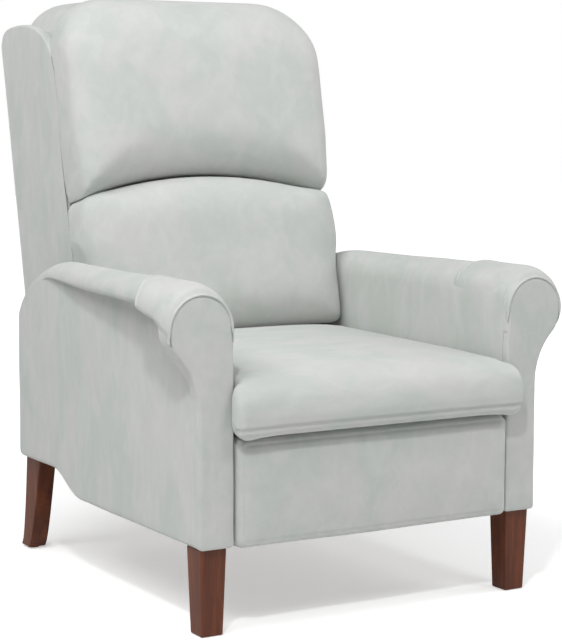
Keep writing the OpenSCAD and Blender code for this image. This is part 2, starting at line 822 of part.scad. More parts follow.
post_out = back_hw - wing_t - hinge_plate_t - soft_gap * 2;
post_in = post_out - post_w;
frame_t = panel_t + soft_gap;
fill_t = frame_t + post_d + strap_t + soft_gap;
frame_top = crown_under + frame_in_crown;
module back_post(side) {
    color("BurlyWood") on_back() on_side(side)
        back_box(post_in, post_out, frame_t, frame_t + post_d, cover_t - back_low_h, frame_top);
}

module back_rail(s0) {
    color("BurlyWood") on_back() back_box(-post_in, post_in, frame_t, frame_t + post_d, s0, s0 + back_rail_h);
}

module back_top_rail() {
    back_rail(frame_top - back_rail_h);
}

module back_middle_rail() {
    back_rail(crease_z - back_rail_h);
}

module back_bottom_rail() {
    back_rail(cover_t - back_low_h);
}

back_strap_count = 5;
module back_webbing() {
    run = crown_under + lumbar_low_h;
    pitch = run / back_strap_count;
    t0 = frame_t + post_d;
    color("DimGray") on_back() for (i = [0:back_strap_count - 1])
        back_box(-post_out, post_out, t0, t0 + strap_t, pitch * (i + 1 / 2) - lumbar_low_h - strap_w / 2,
            pitch * (i + 1 / 2) - lumbar_low_h + strap_w / 2);
}

module back_fill() {
    color("Ivory") on_back()
        back_box(-post_out, post_out, fill_t, wing_d, soft_gap - lumbar_low_h, crown_under - soft_gap);
}

wing_corner = [frame_t + wing_rear_r, wing_rise - wing_rear_r];
wing_brow = [wing_d - wing_front_r, wing_rise - wing_fall - wing_front_r];
module wing(side) {
    outline = concat([[wing_d, -back_low_h], [frame_t, -back_low_h]],
        arc(wing_corner, wing_rear_r, 180, 90, arc_steps / 2), arc(wing_brow, wing_front_r, 90, 0, arc_steps / 2));
    color("Gainsboro") on_back() on_side(side) translate([back_hw - wing_t, 0, 0])
        rotate([90, 0, 90]) linear_extrude(wing_t) polygon([for (p = outline) [-p.x, p.y]]);
}

// Height of the crown roll's top above the datum, at a distance in front of it
function crown_s(t) = (crown_top - back_z - t * sin(back_lean)) / cos(back_lean);

module crown_slice(t, fall) {
    top = crown_s(t) - fall;
    hw = crown_hw - fall / 3;
    r = min(crown_r, top - crown_under - soft_gap);
    outline = concat([[hw, crown_under], [hw, top - r]],
        arc([hw - r, top - r], r, 0, 90), arc([r - hw, top - r], r, 90, 180), [[-hw, crown_under]]);
    translate([0, slice_t - t, 0]) rotate([90, 0, 0]) linear_extrude(slice_t) polygon(outline);
}

module crown_roll() {
    soft = crown_r / 2;
    color("Gainsboro") on_back() difference() {
        hull() {
            crown_slice(frame_t + slice_t, soft / 2);
            crown_slice(frame_t + soft / 3, soft / 6);
            crown_slice(frame_t + soft, 0);
            crown_slice(wing_d, 0);
        }
        back_box(-post_out, post_out, 0, frame_t + post_d, 0, frame_top);
    }
}

// Outlines of the back cushions, drawn as [x, height above the datum]
function crease_at(x, hw) = crease_z - crease_fall * pow(x / hw, 2);
function crease_line(hw, shift, from, to) = [for (i = [0:arc_steps]) let (
    x = lerp(from, to, i / arc_steps)) [x, crease_at(x, hw) + shift]];

puff_shares = [[0, 0.97], [0.15, 0.99], [0.45, 1], [0.7, 0.975], [0.85, 0.92], [0.94, 0.82], [0.985, 0.62],
    [1, 0.3]];
module back_cushion(outline, mid, t) {
    color("Gainsboro") on_back() translate([0, -wing_d - soft_gap, 0]) puffed(outline, mid, t, puff_shares);
}

module head_cushion() {
    top = head_rise - head_r;
    outline = concat(crease_line(head_hw, crease_gap / 2, -head_hw, head_hw),
        arc([head_hw - head_r, top], head_r, 0, 90), arc([head_r - head_hw, top], head_r, 90, 180));
    back_cushion(outline, [0, (head_rise + crease_z) / 2], head_t);
}

module lumbar_cushion() {
    r = lumbar_low_h / 4;
    low = r - lumbar_low_h;
    outline = concat(arc([lumbar_hw - r, low], r, -90, 0, arc_steps / 2),
        crease_line(lumbar_hw, -crease_gap / 2, lumbar_hw, -lumbar_hw),
        arc([r - lumbar_hw, low], r, 180, 270, arc_steps / 2));
    back_cushion(outline, [0, (crease_z - lumbar_low_h) / 2], lumbar_t);
}

module outside_back() {
    r = crown_r * 4 / 5;
    hump_hw = crown_hw - frame_t;
    color("Gainsboro") on_back() rotate([90, 0, 0]) linear_extrude(panel_t) {
        translate([-back_hw, -back_low_h]) square([back_hw * 2, back_low_h + wing_rise - wing_rear_r]);
        polygon(concat([[hump_hw, 0]], arc([hump_hw - r, panel_rise - r], r, 0, 90),
            arc([r - hump_hw, panel_rise - r], r, 90, 180), [[-hump_hw, 0]]));
    }
}

// The recline hinge, seen in the leaned back's own directions
hinge_t = (back_y - hinge_y) * cos(back_lean) + (hinge_z - back_z) * sin(back_lean);
hinge_s = (hinge_z - back_z) * cos(back_lean) - (back_y - hinge_y) * sin(back_lean);
module hinge_plates() {
    low = cover_t - back_low_h;
    color("Silver") on_back() both_sides() translate([post_out, 0, 0])
        rotate([90, 0, 90]) linear_extrude(hinge_plate_t) difference() {
            union() {
                translate([-hinge_t - hinge_eye_r, low]) square([hinge_t - frame_t, back_rail_h]);
                translate([-hinge_t - hinge_eye_r, hinge_s]) square([hinge_eye_r * 2, low - hinge_s]);
                translate([-hinge_t, hinge_s]) circle(hinge_eye_r);
            }
            translate([-hinge_t, hinge_s]) circle(hinge_bolt_r + pin_gap);
        }
}

module hinge_bracket(side) {
    y1 = seat_frame_y + seat_frame_d - seat_rail_t;
    mid_z = seat_rail_z + seat_rail_h / 2;
    foot = [y1 - seat_rail_h, mid_z];
    heel = [y1 - hinge_eye_r, mid_z];
    eye = [hinge_y, hinge_z];
    color("Silver") on_side(side) flat_link(plate_in, link_t, [[foot, heel], [heel, eye]], [eye],
        hinge_eye_r, hinge_bolt_r);
}

module hinge_bolts() {
    eye = [hinge_y, hinge_z];
    head_r = hinge_bolt_r * 8 / 5;
    x0 = post_out - pin_gap;
    x1 = post_out + hinge_plate_t + pin_gap;
    x2 = seat_rail_in + pin_gap;
    color("Gray") both_sides() {
        cross_pin(eye, x0, x2, hinge_bolt_r);
        cross_pin(eye, x0 - hinge_plate_t, x0, head_r);
        cross_pin(eye, x1, plate_in, head_r);
        cross_pin(eye, x2, x2 + hinge_plate_t, head_r);
    }
}

arm_frame(LEFT);  // arm_frame_left
arm_frame(RIGHT);  // arm_frame_right
arm_cover(LEFT);  // arm_cover_left
arm_cover(RIGHT);  // arm_cover_right
arm_cap(LEFT);  // arm_cap_left
arm_cap(RIGHT);  // arm_cap_right
arm_facing(LEFT);  // arm_facing_left
arm_facing(RIGHT);  // arm_facing_right
front_leg(LEFT);  // front_leg_left
front_leg(RIGHT);  // front_leg_right
rear_leg(LEFT);  // rear_leg_left
rear_leg(RIGHT);  // rear_leg_right
leg_bolts();
foot_glides();
front_cross_rail();
rear_cross_rail();
rear_rail_cover();
slide_channel(LEFT);  // slide_channel_left
slide_channel(RIGHT);  // slide_channel_right
channel_screws();
seat_front_bar();
seat_rail_rear();
seat_side_rail(LEFT);  // seat_rail_left
seat_side_rail(RIGHT);  // seat_rail_right
seat_webbing();
seat_cushion();
slide_runners();
link_plate(LEFT);  // link_plate_left
link_plate(RIGHT);  // link_plate_right
seat_link_pins();
hinge_bracket(LEFT);  // hinge_bracket_left
hinge_bracket(RIGHT);  // hinge_bracket_right
hinge_bolts();
drive_link(LEFT);  // drive_link_left
drive_link(RIGHT);  // drive_link_right
drive_tube();
drive_link_pins();
carrier_links();
carrier_plates();
carrier_pins();
tilt_links();
footrest_brackets();
bracket_pins();
footrest_board();
footrest_pad();
back_post(LEFT);  // back_post_left
back_post(RIGHT);  // back_post_right
back_top_rail();
back_middle_rail();
back_bottom_rail();
back_webbing();
back_fill();
wing(LEFT);  // wing_left
wing(RIGHT);  // wing_right
crown_roll();
head_cushion();
lumbar_cushion();
outside_back();
hinge_plates();
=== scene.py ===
"""Dresses a push-back wing recliner with high legs.

Every sub-assembly is a class that holds its own sizes in millimetres, measured
from the arms' front plane and the floor, and makes its pieces in the frame.
"""
import json
import logging
import math
from dataclasses import dataclass, field
from enum import Enum
from typing import Callable, Iterable, Optional, Sequence

import bmesh
import bpy
import numpy as np
from mathutils import Matrix, Vector, noise
from mathutils.bvhtree import BVHTree
from mathutils.kdtree import KDTree


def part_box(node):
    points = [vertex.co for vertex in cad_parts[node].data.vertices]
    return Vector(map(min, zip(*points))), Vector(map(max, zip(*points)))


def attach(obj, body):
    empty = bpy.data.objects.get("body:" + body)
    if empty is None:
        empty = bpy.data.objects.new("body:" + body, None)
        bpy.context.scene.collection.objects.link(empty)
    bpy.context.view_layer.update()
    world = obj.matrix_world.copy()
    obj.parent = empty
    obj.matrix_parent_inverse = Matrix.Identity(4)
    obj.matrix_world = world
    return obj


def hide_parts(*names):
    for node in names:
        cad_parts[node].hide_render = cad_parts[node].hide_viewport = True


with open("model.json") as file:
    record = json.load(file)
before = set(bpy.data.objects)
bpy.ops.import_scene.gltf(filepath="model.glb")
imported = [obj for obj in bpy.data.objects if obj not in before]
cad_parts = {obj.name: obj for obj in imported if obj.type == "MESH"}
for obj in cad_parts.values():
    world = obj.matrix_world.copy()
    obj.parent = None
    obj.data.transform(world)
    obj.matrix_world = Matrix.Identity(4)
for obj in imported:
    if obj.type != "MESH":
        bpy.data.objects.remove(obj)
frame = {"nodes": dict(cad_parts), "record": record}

LOG = logging.getLogger("recliner")
MM = 0.001
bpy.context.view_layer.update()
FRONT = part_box("arm_facing_left")[0][1]
BACK_Y, BACK_Z, LEAN = 855.0, 488.0, math.radians(12.0)
WING_FRONT = ((244.0, -179.0), (245.5, -60.0), (246.0, 0.0), (242.5, 80.0), (239.0, 150.0), (238.0, 214.0),
              (240.5, 270.0), (244.5, 325.0), (243.5, 368.0), (236.0, 402.0), (220.0, 432.0), (196.0, 458.0))

Array = np.ndarray
Colour = tuple[float, float, float]
Socket = bpy.types.NodeSocket
Piece = bpy.types.Object
Outline = list[tuple[float, float]]
LegRow = tuple[float, float, float, float, float]


class Side(Enum):
    """Which side of the recliner a piece is on, seen from the front."""

    LEFT = -1
    RIGHT = 1

    @property
    def word(self) -> str:
        """The side's name in lower case."""
        return self.name.lower()


class Body(Enum):
    """The moving bodies that pieces ride on."""

    BASE = "base"
    SEAT = "seat"
    BACK = "back"
    FOOTREST = "footrest"


# Places


def to_row(points: Array) -> Array:
    """Turns places in millimetres from the front plane into the frame's metres."""
    out = np.asarray(points, float) * MM
    out[..., 1] += FRONT
    return out


def on_back(points: Array) -> Array:
    """Turns places across, in front of and up the leaned back into millimetres.

    Args:
        points: Rows of x, distance in front of the outside, height above the datum.

    Returns:
        Rows of x, distance from the front plane and height above the floor.
    """
    p = np.asarray(points, float)
    x, t, s = p[..., 0], p[..., 1], p[..., 2]
    c, n = math.cos(LEAN), math.sin(LEAN)
    return np.stack([x, BACK_Y - t * c + s * n, BACK_Z + t * n + s * c], axis=-1)


def arc(cx: float, cz: float, rx: float, rz: float, start: float, end: float, count: int) -> Outline:
    """Points on an elliptic arc between two angles in degrees, without the last."""
    turns = [math.radians(start + (end - start) * i / count) for i in range(count)]
    return [(cx + rx * math.cos(a), cz + rz * math.sin(a)) for a in turns]


def run(a: tuple[float, float], b: tuple[float, float], count: int) -> Outline:
    """Points on a straight run, without the last."""
    return [(a[0] + (b[0] - a[0]) * i / count, a[1] + (b[1] - a[1]) * i / count) for i in range(count)]


def blend(a: float, b: float, share: float) -> float:
    """The value a share of the way from a to b."""
    return a + (b - a) * share


def smooth(share: float) -> float:
    """A share eased at both of its ends."""
    s = min(1.0, max(0.0, share))
    return s * s * (3 - 2 * s)


def smooth_cos(share: float) -> float:
    """A share eased by half a cosine, held at its ends."""
    return (1 - math.cos(math.pi * min(1.0, max(0.0, share)))) / 2


def drawn_in(share: float) -> float:
    """How far a quarter circle has drawn in, from 0 at its start to 1 at its end."""
    return 1 - math.sqrt(max(0.0, 1 - min(1.0, max(0.0, share)) ** 2))


def node_box(name: str) -> tuple[Array, Array]:
    """A CAD node's lowest and highest corner, in millimetres from the front plane."""
    low, high = (np.array([c[0], c[1] - FRONT, c[2]]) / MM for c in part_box(name))
    return low, high


# Finishes


class Graph:
    """A material's node tree, with short ways to add its nodes."""

    def __init__(self, name: str) -> None:
        """Starts a material with a Principled shader and object coordinates."""
        self.material = bpy.data.materials.new(name)
        self.material.use_nodes = True
        self.tree = self.material.node_tree
        self.shader = self.tree.nodes["Principled BSDF"]
        self.coords = self.tree.nodes.new("ShaderNodeTexCoord").outputs["Object"]

    def put(self, socket: Socket, value: object) -> None:
        """Links a socket, or sets a plain value, on an input."""
        if isinstance(value, bpy.types.NodeSocket):
            self.tree.links.new(value, socket)
        else:
            socket.default_value = value

    def shade(self, **values: object) -> None:
        """Sets the shader's inputs, named with underscores for spaces."""
        for name, value in values.items():
            if isinstance(value, tuple) and len(value) == 3:
                value = (*value, 1.0)
            self.put(self.shader.inputs[name.replace("_", " ")], value)

    def place(self, scale: Sequence[float] = (1, 1, 1), shift: Sequence[float] = (0, 0, 0),
              turn: Sequence[float] = (0, 0, 0)) -> Socket:
        """Object coordinates, stretched, shifted and turned."""
        node = self.tree.nodes.new("ShaderNodeMapping")
        self.put(node.inputs["Vector"], self.coords)
        node.inputs["Scale"].default_value = scale
        node.inputs["Location"].default_value = shift
        node.inputs["Rotation"].default_value = turn
        return node.outputs["Vector"]

    def noise(self, vector: Socket, scale: float, detail: float = 2.0, rough: float = 0.5,
              warp: float = 0.0) -> Socket:
        """A noise texture's value."""
        node = self.tree.nodes.new("ShaderNodeTexNoise")
        self.put(node.inputs["Vector"], vector)
        node.inputs["Scale"].default_value = scale
        node.inputs["Detail"].default_value = detail
        node.inputs["Roughness"].default_value = rough
        node.inputs["Distortion"].default_value = warp
        return node.outputs["Fac"]

    def cells(self, vector: Socket, scale: float) -> Socket:
        """A cell texture's distance."""
        node = self.tree.nodes.new("ShaderNodeTexVoronoi")
        self.put(node.inputs["Vector"], vector)
        node.inputs["Scale"].default_value = scale
        return node.outputs["Distance"]

    def bands(self, vector: Socket, scale: float, axis: str, warp: float = 0.0) -> Socket:
        """A wave texture's value, in bands across one axis."""
        node = self.tree.nodes.new("ShaderNodeTexWave")
        node.bands_direction = axis
        self.put(node.inputs["Vector"], vector)
        node.inputs["Scale"].default_value = scale
        node.inputs["Distortion"].default_value = warp
        return node.outputs["Fac"]

    def math(self, kind: str, a: object, b: object = 0.0) -> Socket:
        """A sum on two values or sockets."""
        node = self.tree.nodes.new("ShaderNodeMath")
        node.operation = kind
        self.put(node.inputs[0], a)
        self.put(node.inputs[1], b)
        return node.outputs[0]

    def spread(self, value: Socket, low: float, high: float, to_low: float = 0.0,
               to_high: float = 1.0) -> Socket:
        """A value's range mapped smoothly to another."""
        node = self.tree.nodes.new("ShaderNodeMapRange")
        node.interpolation_type = "SMOOTHSTEP"
        self.put(node.inputs["Value"], value)
        for name, number in (("From Min", low), ("From Max", high), ("To Min", to_low), ("To Max", to_high)):
            node.inputs[name].default_value = number
        return node.outputs["Result"]

    def mix(self, share: object, a: object, b: object, kind: str = "MIX") -> Socket:
        """Two colours mixed by a share."""
        node = self.tree.nodes.new("ShaderNodeMix")
        node.data_type = "RGBA"
        node.blend_type = kind
        self.put(node.inputs[0], share)
        for index, value in ((6, a), (7, b)):
            if isinstance(value, tuple):
                value = (*value, 1.0)
            self.put(node.inputs[index], value)
        return node.outputs[2]

    def bump(self, height: Socket, strength: float, depth: float, under: Optional[Socket] = None) -> Socket:
        """A bump from a height, on top of another one."""
        node = self.tree.nodes.new("ShaderNodeBump")
        node.inputs["Strength"].default_value = strength
        node.inputs["Distance"].default_value = depth
        self.put(node.inputs["Height"], height)
        if under is not None:
            self.put(node.inputs["Normal"], under)
        return node.outputs["Normal"]

    def edges(self, low: float, high: float) -> Socket:
        """How much a place is an outer edge, from 0 to 1, for worn edges and for the velvet's painted edge
        highlight.
        """
        node = self.tree.nodes.new("ShaderNodeNewGeometry")
        return self.spread(node.outputs["Pointiness"], low, high)


def toned(colour: Colour, by: float) -> Colour:
    """A colour made darker or lighter, up to white."""
    return tuple(min(1.0, c * by) for c in colour)


@dataclass(frozen=True)
class Velvet:
    """Pale brushed upholstery velvet whose pile lies light and dark in patches."""

    name: str
    shift: tuple[float, float, float] = (0.0, 0.0, 0.0)
    stretch: tuple[float, float, float] = (1.0, 1.0, 0.45)
    cool: Colour = (0.566, 0.600, 0.571)
    warm: Colour = (0.640, 0.637, 0.624)
    light: Colour = (0.708, 0.721, 0.706)

    def build(self) -> bpy.types.Material:
        """Makes the material."""
        g = Graph(self.name)
        laid = g.place(self.stretch, self.shift)
        patch = g.spread(g.noise(laid, 10.0, 3.0, 0.55, 0.6), 0.34, 0.66)
        brushed = g.spread(g.noise(laid, 27.0, 4.0, 0.6, 0.9), 0.36, 0.72)
        flecks = g.spread(g.noise(laid, 95.0, 3.0, 0.6, 0.4), 0.3, 0.75)
        nap = g.noise(g.place((1, 1, 1), self.shift), 1100.0, 2.0, 0.6)
        cloth = g.mix(patch, self.cool, self.warm)
        cloth = g.mix(g.math("MULTIPLY", brushed, 0.34), cloth, self.light)
        cloth = g.mix(g.math("MULTIPLY", flecks, 0.16), cloth, self.cool)
        cloth = g.mix(0.10, cloth, g.spread(nap, 0.25, 0.75, 0.25, 1.0), "MULTIPLY")
        # Painted highlight: outer edges lightened towards the pale tone, standing in for the velvet's rim
        # light.
        cloth = g.mix(g.math("MULTIPLY", g.edges(0.515, 0.60), 0.35), cloth, self.light)
        waves = g.bump(g.noise(laid, 16.0, 2.0, 0.5), 0.22, 0.004)
        pile = g.bump(g.noise(g.coords, 420.0, 3.0, 0.65), 0.18, 0.0006, waves)
        fibres = g.bump(nap, 0.22, 0.0003, pile)
        g.shade(Base_Color=cloth, Roughness=g.spread(brushed, 0.0, 1.0, 0.92, 0.78), Normal=fibres)
        g.shade(Specular_IOR_Level=0.22, Sheen_Weight=0.22, Sheen_Roughness=0.42,
                Sheen_Tint=(0.95, 1.0, 0.97))
        return g.material


@dataclass(frozen=True)
class Thread:
    """Twisted sewing yarn, some shades darker than the cloth that it sews; the same dark tone is the painted
    shade of the cords laid in the wing grooves.
    """

    name: str
    # Dark enough that the cords laid in the wing grooves paint the shade there.
    base: Colour = (0.22, 0.24, 0.225)
    twist: float = 900.0

    def build(self) -> bpy.types.Material:
        """Makes the material."""
        g = Graph(self.name)
        twist = g.bands(g.place((1, 1, 1), turn=(0.5, 0.6, 0.4)), self.twist, "DIAGONAL", 1.5)
        tone = g.noise(g.coords, 60.0, 2.0)
        cloth = g.mix(g.spread(tone, 0.3, 0.7), self.base, toned(self.base, 1.12))
        cloth = g.mix(0.25, cloth, g.spread(twist, 0.0, 1.0, 0.6, 1.0), "MULTIPLY")
        g.shade(Base_Color=cloth, Roughness=0.8, Normal=g.bump(twist, 0.25, 0.0003), Specular_IOR_Level=0.25,
                Sheen_Weight=0.2)
        return g.material


@dataclass(frozen=True)
class Wood:
    """Timber with grain along one axis, clear finished or plain planed."""

    name: str
    dark: Colour
    light: Colour
    rough: float
    coat: float
    along: tuple[float, float, float] = (1.0, 1.0, 0.06)
    fine: float = 420.0

    def build(self) -> bpy.types.Material:
        """Makes the material."""
        g = Graph(self.name)
        laid = g.place(self.along)
        figure = g.noise(laid, 46.0, 4.0, 0.6, 1.2)
        longer = tuple(a if a >= 1 else a * 0.5 for a in self.along)
        lines = g.noise(g.place(longer), self.fine, 3.0, 0.7, 0.3)
        pores = g.spread(g.noise(laid, self.fine * 1.9, 2.0, 0.7), 0.56, 0.72)
        tone = g.mix(g.spread(figure, 0.3, 0.7), self.dark, self.light)
        tone = g.mix(g.math("MULTIPLY", g.spread(lines, 0.35, 0.7), 0.45), tone, self.dark)
        tone = g.mix(g.math("MULTIPLY", pores, 0.55), tone, toned(self.dark, 0.45))
        worn = g.mix(g.math("MULTIPLY", g.edges(0.53, 0.64), 0.5), tone, toned(self.light, 1.6))
        g.shade(Base_Color=worn, Roughness=g.spread(lines, 0.2, 0.8, self.rough - 0.06, self.rough + 0.1),
                Normal=g.bump(pores, 0.22, -0.0003, g.bump(lines, 0.12, 0.0003)),
                Coat_Weight=self.coat, Coat_Roughness=0.22, Specular_IOR_Level=0.42)
        return g.material


@dataclass(frozen=True)
class Steel:
    """Steel, painted or plated, with a brushed or slightly pitted surface."""

    name: str
    base: Colour
    metallic: float
    rough: float

    def build(self) -> bpy.types.Material:
        """Makes the material."""
        g = Graph(self.name)
        haze = g.noise(g.coords, 55.0, 3.0, 0.6)
        brush = g.noise(g.place((1, 0.08, 1)), 900.0, 2.0, 0.6)
        tone = g.mix(g.spread(haze, 0.3, 0.7), toned(self.base, 0.82), self.base)
        tone = g.mix(g.math("MULTIPLY", g.edges(0.54, 0.66), 0.4), tone, (0.5, 0.5, 0.5))
        g.shade(Base_Color=tone, Metallic=self.metallic, Normal=g.bump(brush, 0.08, 0.0002),
                Roughness=g.spread(haze, 0.25, 0.75, self.rough - 0.07, self.rough + 0.1))
        return g.material


@dataclass(frozen=True)
class Foam:
    """Cut seating foam with open cells."""

    name: str
    base: Colour = (0.76, 0.70, 0.52)

    def build(self) -> bpy.types.Material:
        """Makes the material."""
        g = Graph(self.name)
        cells = g.cells(g.coords, 700.0)
        tone = g.mix(g.spread(g.noise(g.coords, 14.0, 3.0), 0.3, 0.7), self.base, toned(self.base, 0.9))
        tone = g.mix(0.3, tone, g.spread(cells, 0.0, 0.5, 0.55, 1.0), "MULTIPLY")
        g.shade(Base_Color=tone, Roughness=0.95, Normal=g.bump(cells, 0.4, 0.0008), Specular_IOR_Level=0.1)
        return g.material


@dataclass(frozen=True)
class Strap:
    """Woven polypropylene webbing."""

    name: str
    base: Colour = (0.10, 0.095, 0.085)

    def build(self) -> bpy.types.Material:
        """Makes the material."""
        g = Graph(self.name)
        across = g.bands(g.coords, 190.0, "X")
        along = g.bands(g.place((0, 1, 1)), 150.0, "DIAGONAL")
        weave = g.math("MULTIPLY", across, along)
        tone = g.mix(g.spread(g.noise(g.coords, 30.0, 2.0), 0.3, 0.7), self.base, toned(self.base, 1.6))
        tone = g.mix(0.5, tone, g.spread(weave, 0.0, 0.8, 0.5, 1.0), "MULTIPLY")
        g.shade(Base_Color=tone, Roughness=0.7, Normal=g.bump(weave, 0.5, 0.0006), Specular_IOR_Level=0.35)
        return g.material


@dataclass(frozen=True)
class Plastic:
    """Moulded plastic with a fine matt grain."""

    name: str
    base: Colour

    def build(self) -> bpy.types.Material:
        """Makes the material."""
        g = Graph(self.name)
        grain = g.noise(g.coords, 1500.0, 2.0)
        tone = g.mix(g.spread(g.noise(g.coords, 40.0), 0.3, 0.7), self.base, toned(self.base, 1.25))
        g.shade(Base_Color=tone, Roughness=g.spread(grain, 0.3, 0.7, 0.42, 0.55),
                Normal=g.bump(grain, 0.15, 0.0002))
        return g.material


@dataclass
class Finishes:
    """Every finish of the recliner, made once."""

    side: bpy.types.Material = field(init=False)
    panel: bpy.types.Material = field(init=False)
    seat: bpy.types.Material = field(init=False)
    back: bpy.types.Material = field(init=False)
    thread: bpy.types.Material = field(init=False)
    welt: bpy.types.Material = field(init=False)
    slots: dict[str, bpy.types.Material] = field(init=False)

    def __post_init__(self) -> None:
        """Builds each material."""
        self.side = Velvet("velvet_upright").build()
        self.panel = Velvet("velvet_panel", (0.37, 0.11, 0.53), (1.0, 1.0, 0.8)).build()
        self.seat = Velvet("velvet_seat", (0.71, 0.23, 0.19), (0.55, 1.0, 1.0)).build()
        self.back = Velvet("velvet_back", (0.13, 0.47, 0.31), (0.9, 1.0, 0.75)).build()
        self.thread = Thread("thread_with_groove_shade").build()
        self.welt = Velvet("velvet_welt", (0.21, 0.05, 0.87)).build()
        self.slots = {
            "mahogany": Wood("mahogany", (0.080, 0.0165, 0.003), (0.172, 0.040, 0.009), 0.46, 0.06).build(),
            "frame_timber": Wood("frame_timber", (0.42, 0.27, 0.14), (0.62, 0.45, 0.27), 0.62, 0.0,
                                 (0.06, 1.0, 1.0)).build(),
            "mechanism_steel": Steel("mechanism_steel", (0.028, 0.028, 0.031), 0.35, 0.42).build(),
            "fastener_steel": Steel("fastener_steel", (0.60, 0.60, 0.58), 1.0, 0.32).build(),
            "glide_plastic": Plastic("glide_plastic", (0.045, 0.032, 0.026)).build(),
            "foam_fill": Foam("foam_fill").build(),
            "webbing": Strap("webbing_strap").build(),
        }


# Mesh work


def mesh_piece(name: str, points: Array, faces: Sequence[Sequence[int]], finish: bpy.types.Material,
               flat: bool = False) -> Piece:
    """Makes a closed, outward-facing mesh piece from places in metres.

    Args:
        name: The piece's name.
        points: Rows of x, y, z in metres.
        faces: Corner numbers of each face.
        finish: The material.
        flat: Keeps flat shading.

    Returns:
        The new object, linked to the scene.
    """
    data = bpy.data.meshes.new(name)
    data.from_pydata([tuple(p) for p in points], [], [tuple(f) for f in faces])
    mesh = bmesh.new()
    mesh.from_mesh(data)
    bmesh.ops.remove_doubles(mesh, verts=mesh.verts, dist=2e-5)
    bmesh.ops.dissolve_degenerate(mesh, edges=mesh.edges, dist=1e-6)
    bmesh.ops.recalc_face_normals(mesh, faces=mesh.faces)
    for face in mesh.faces:
        face.smooth = not flat
    mesh.to_mesh(data)
    mesh.free()
    data.materials.append(finish)
    piece = bpy.data.objects.new(name, data)
    bpy.context.scene.collection.objects.link(piece)
    return piece


def skin(rings: Array, close: bool = True) -> tuple[Array, list[tuple[int, ...]]]:
    """Joins rings of equal length into a closed surface.

    Args:
        rings: Places, as rings by points by 3.
        close: Whether each ring closes on itself.

    Returns:
        The points and the faces.
    """
    n, m = rings.shape[:2]
    faces: list[tuple[int, ...]] = []
    for i in range(n - 1):
        for j in range(m if close else m - 1):
            k = (j + 1) % m
            faces.append((i * m + j, i * m + k, (i + 1) * m + k, (i + 1) * m + j))
    return rings.reshape(-1, 3), faces


def capped(rings: list[Array]) -> Array:
    """Rings with one more at each end, drawn to a point, so that their skin is closed."""
    ends = [np.tile(ring.mean(axis=0), (len(ring), 1)) for ring in (rings[0], rings[-1])]
    return np.array([ends[0]] + rings + [ends[1]])


def spine_point(p: Array, a: Array, b: Array) -> Array:
    """The place on the segment from a to b that lies nearest to each point."""
    d = b - a
    share = np.clip(((p - a) @ d) / max(1e-9, float(d @ d)), 0.0, 1.0)
    return a + share[:, None] * d


def pillow(outline: Array, spine: tuple[tuple[float, float], tuple[float, float]],
           levels: Sequence[tuple[float, float, float]]) -> Array:
    """Rings of a padded block, drawn over an outline in a plane.

    Args:
        outline: Corners of the outline, as rows of u, v.
        spine: The two ends of the line that the rings close on.
        levels: Inset in millimetres, share of what is left, and height.

    Returns:
        Rings of u, v, height.
    """
    a, b = np.array(spine[0], float), np.array(spine[1], float)
    q = spine_point(outline, a, b)
    reach = np.maximum(1e-6, np.linalg.norm(outline - q, axis=1))
    rings = []
    for inset, share, height in levels:
        keep = np.clip(1 - inset / reach, 0, 1) * share
        flat = q + (outline - q) * keep[:, None]
        rings.append(np.column_stack([flat, np.full(len(flat), height)]))
    return np.array(rings)


def round_levels(low: float, high: float, radius: float, back: float,
                 steps: int) -> list[tuple[float, float, float]]:
    """Levels of a pillow from its flat back to its rounded, flat front.

    Args:
        low: Height of the back.
        high: Height of the front.
        radius: Radius of the front edge.
        back: Radius of the back edge.
        steps: Steps on the front edge.

    Returns:
        The levels for pillow().
    """
    out = [(back, 0.0, low), (back, 0.5, low), (back, 1.0, low), (back * 0.3, 1.0, low + back * 0.3),
           (0.0, 1.0, low + back)]
    for i in range(steps + 1):
        a = math.radians(90 * i / steps)
        out.append((radius * (1 - math.cos(a)), 1.0, high - radius * (1 - math.sin(a))))
    return out + [(radius, share, high) for share in (0.93, 0.85, 0.72, 0.56, 0.38, 0.18, 0.0)]


def rounded(corners: Sequence[tuple[float, float, float]], step: float = 9.0) -> Array:
    """An outline with rounded corners and points at an even step.

    Args:
        corners: u, v and radius of each corner, in order.
        step: Distance between points.

    Returns:
        Rows of u, v.
    """
    out: list[tuple[float, float]] = []
    n = len(corners)
    for i in range(n):
        p0, p, p1 = (np.array(corners[(i + k) % n][:2], float) for k in (-1, 0, 1))
        r = corners[i][2]
        a, b = (p0 - p) / np.linalg.norm(p0 - p), (p1 - p) / np.linalg.norm(p1 - p)
        half = math.acos(max(-1.0, min(1.0, float(a @ b)))) / 2
        trim = r / math.tan(half)
        start, end = p + a * trim, p + b * trim
        for k in range(9):
            f = k / 8
            centre = p + (a + b) / np.linalg.norm(a + b) * (r / math.sin(half))
            v0, v1 = start - centre, end - centre
            turn = math.atan2(v0[0] * v1[1] - v0[1] * v1[0], float(v0 @ v1)) * f
            c, s = math.cos(turn), math.sin(turn)
            out.append((centre[0] + v0[0] * c - v0[1] * s, centre[1] + v0[0] * s + v0[1] * c))
    return even(np.array(out), step)


def even(line: Array, step: float, closed: bool = True) -> Array:
    """A polyline with points at an even step."""
    pts = np.vstack([line, line[:1]]) if closed else line
    gaps = np.linalg.norm(np.diff(pts, axis=0), axis=1)
    keep = np.concatenate([[True], gaps > 1e-9])
    pts = pts[keep]
    length = np.concatenate([[0.0], np.cumsum(np.linalg.norm(np.diff(pts, axis=0), axis=1))])
    count = max(8, int(round(length[-1] / step)))
    at = np.linspace(0, length[-1], count + 1)
    out = np.column_stack([np.interp(at, length, pts[:, k]) for k in range(pts.shape[1])])
    return out[:-1] if closed else out


def coordinates(piece: Piece) -> Array:
    """A piece's vertices as rows of x, y, z in metres."""
    flat = np.empty(len(piece.data.vertices) * 3)
    piece.data.vertices.foreach_get("co", flat)
    return flat.reshape(-1, 3)


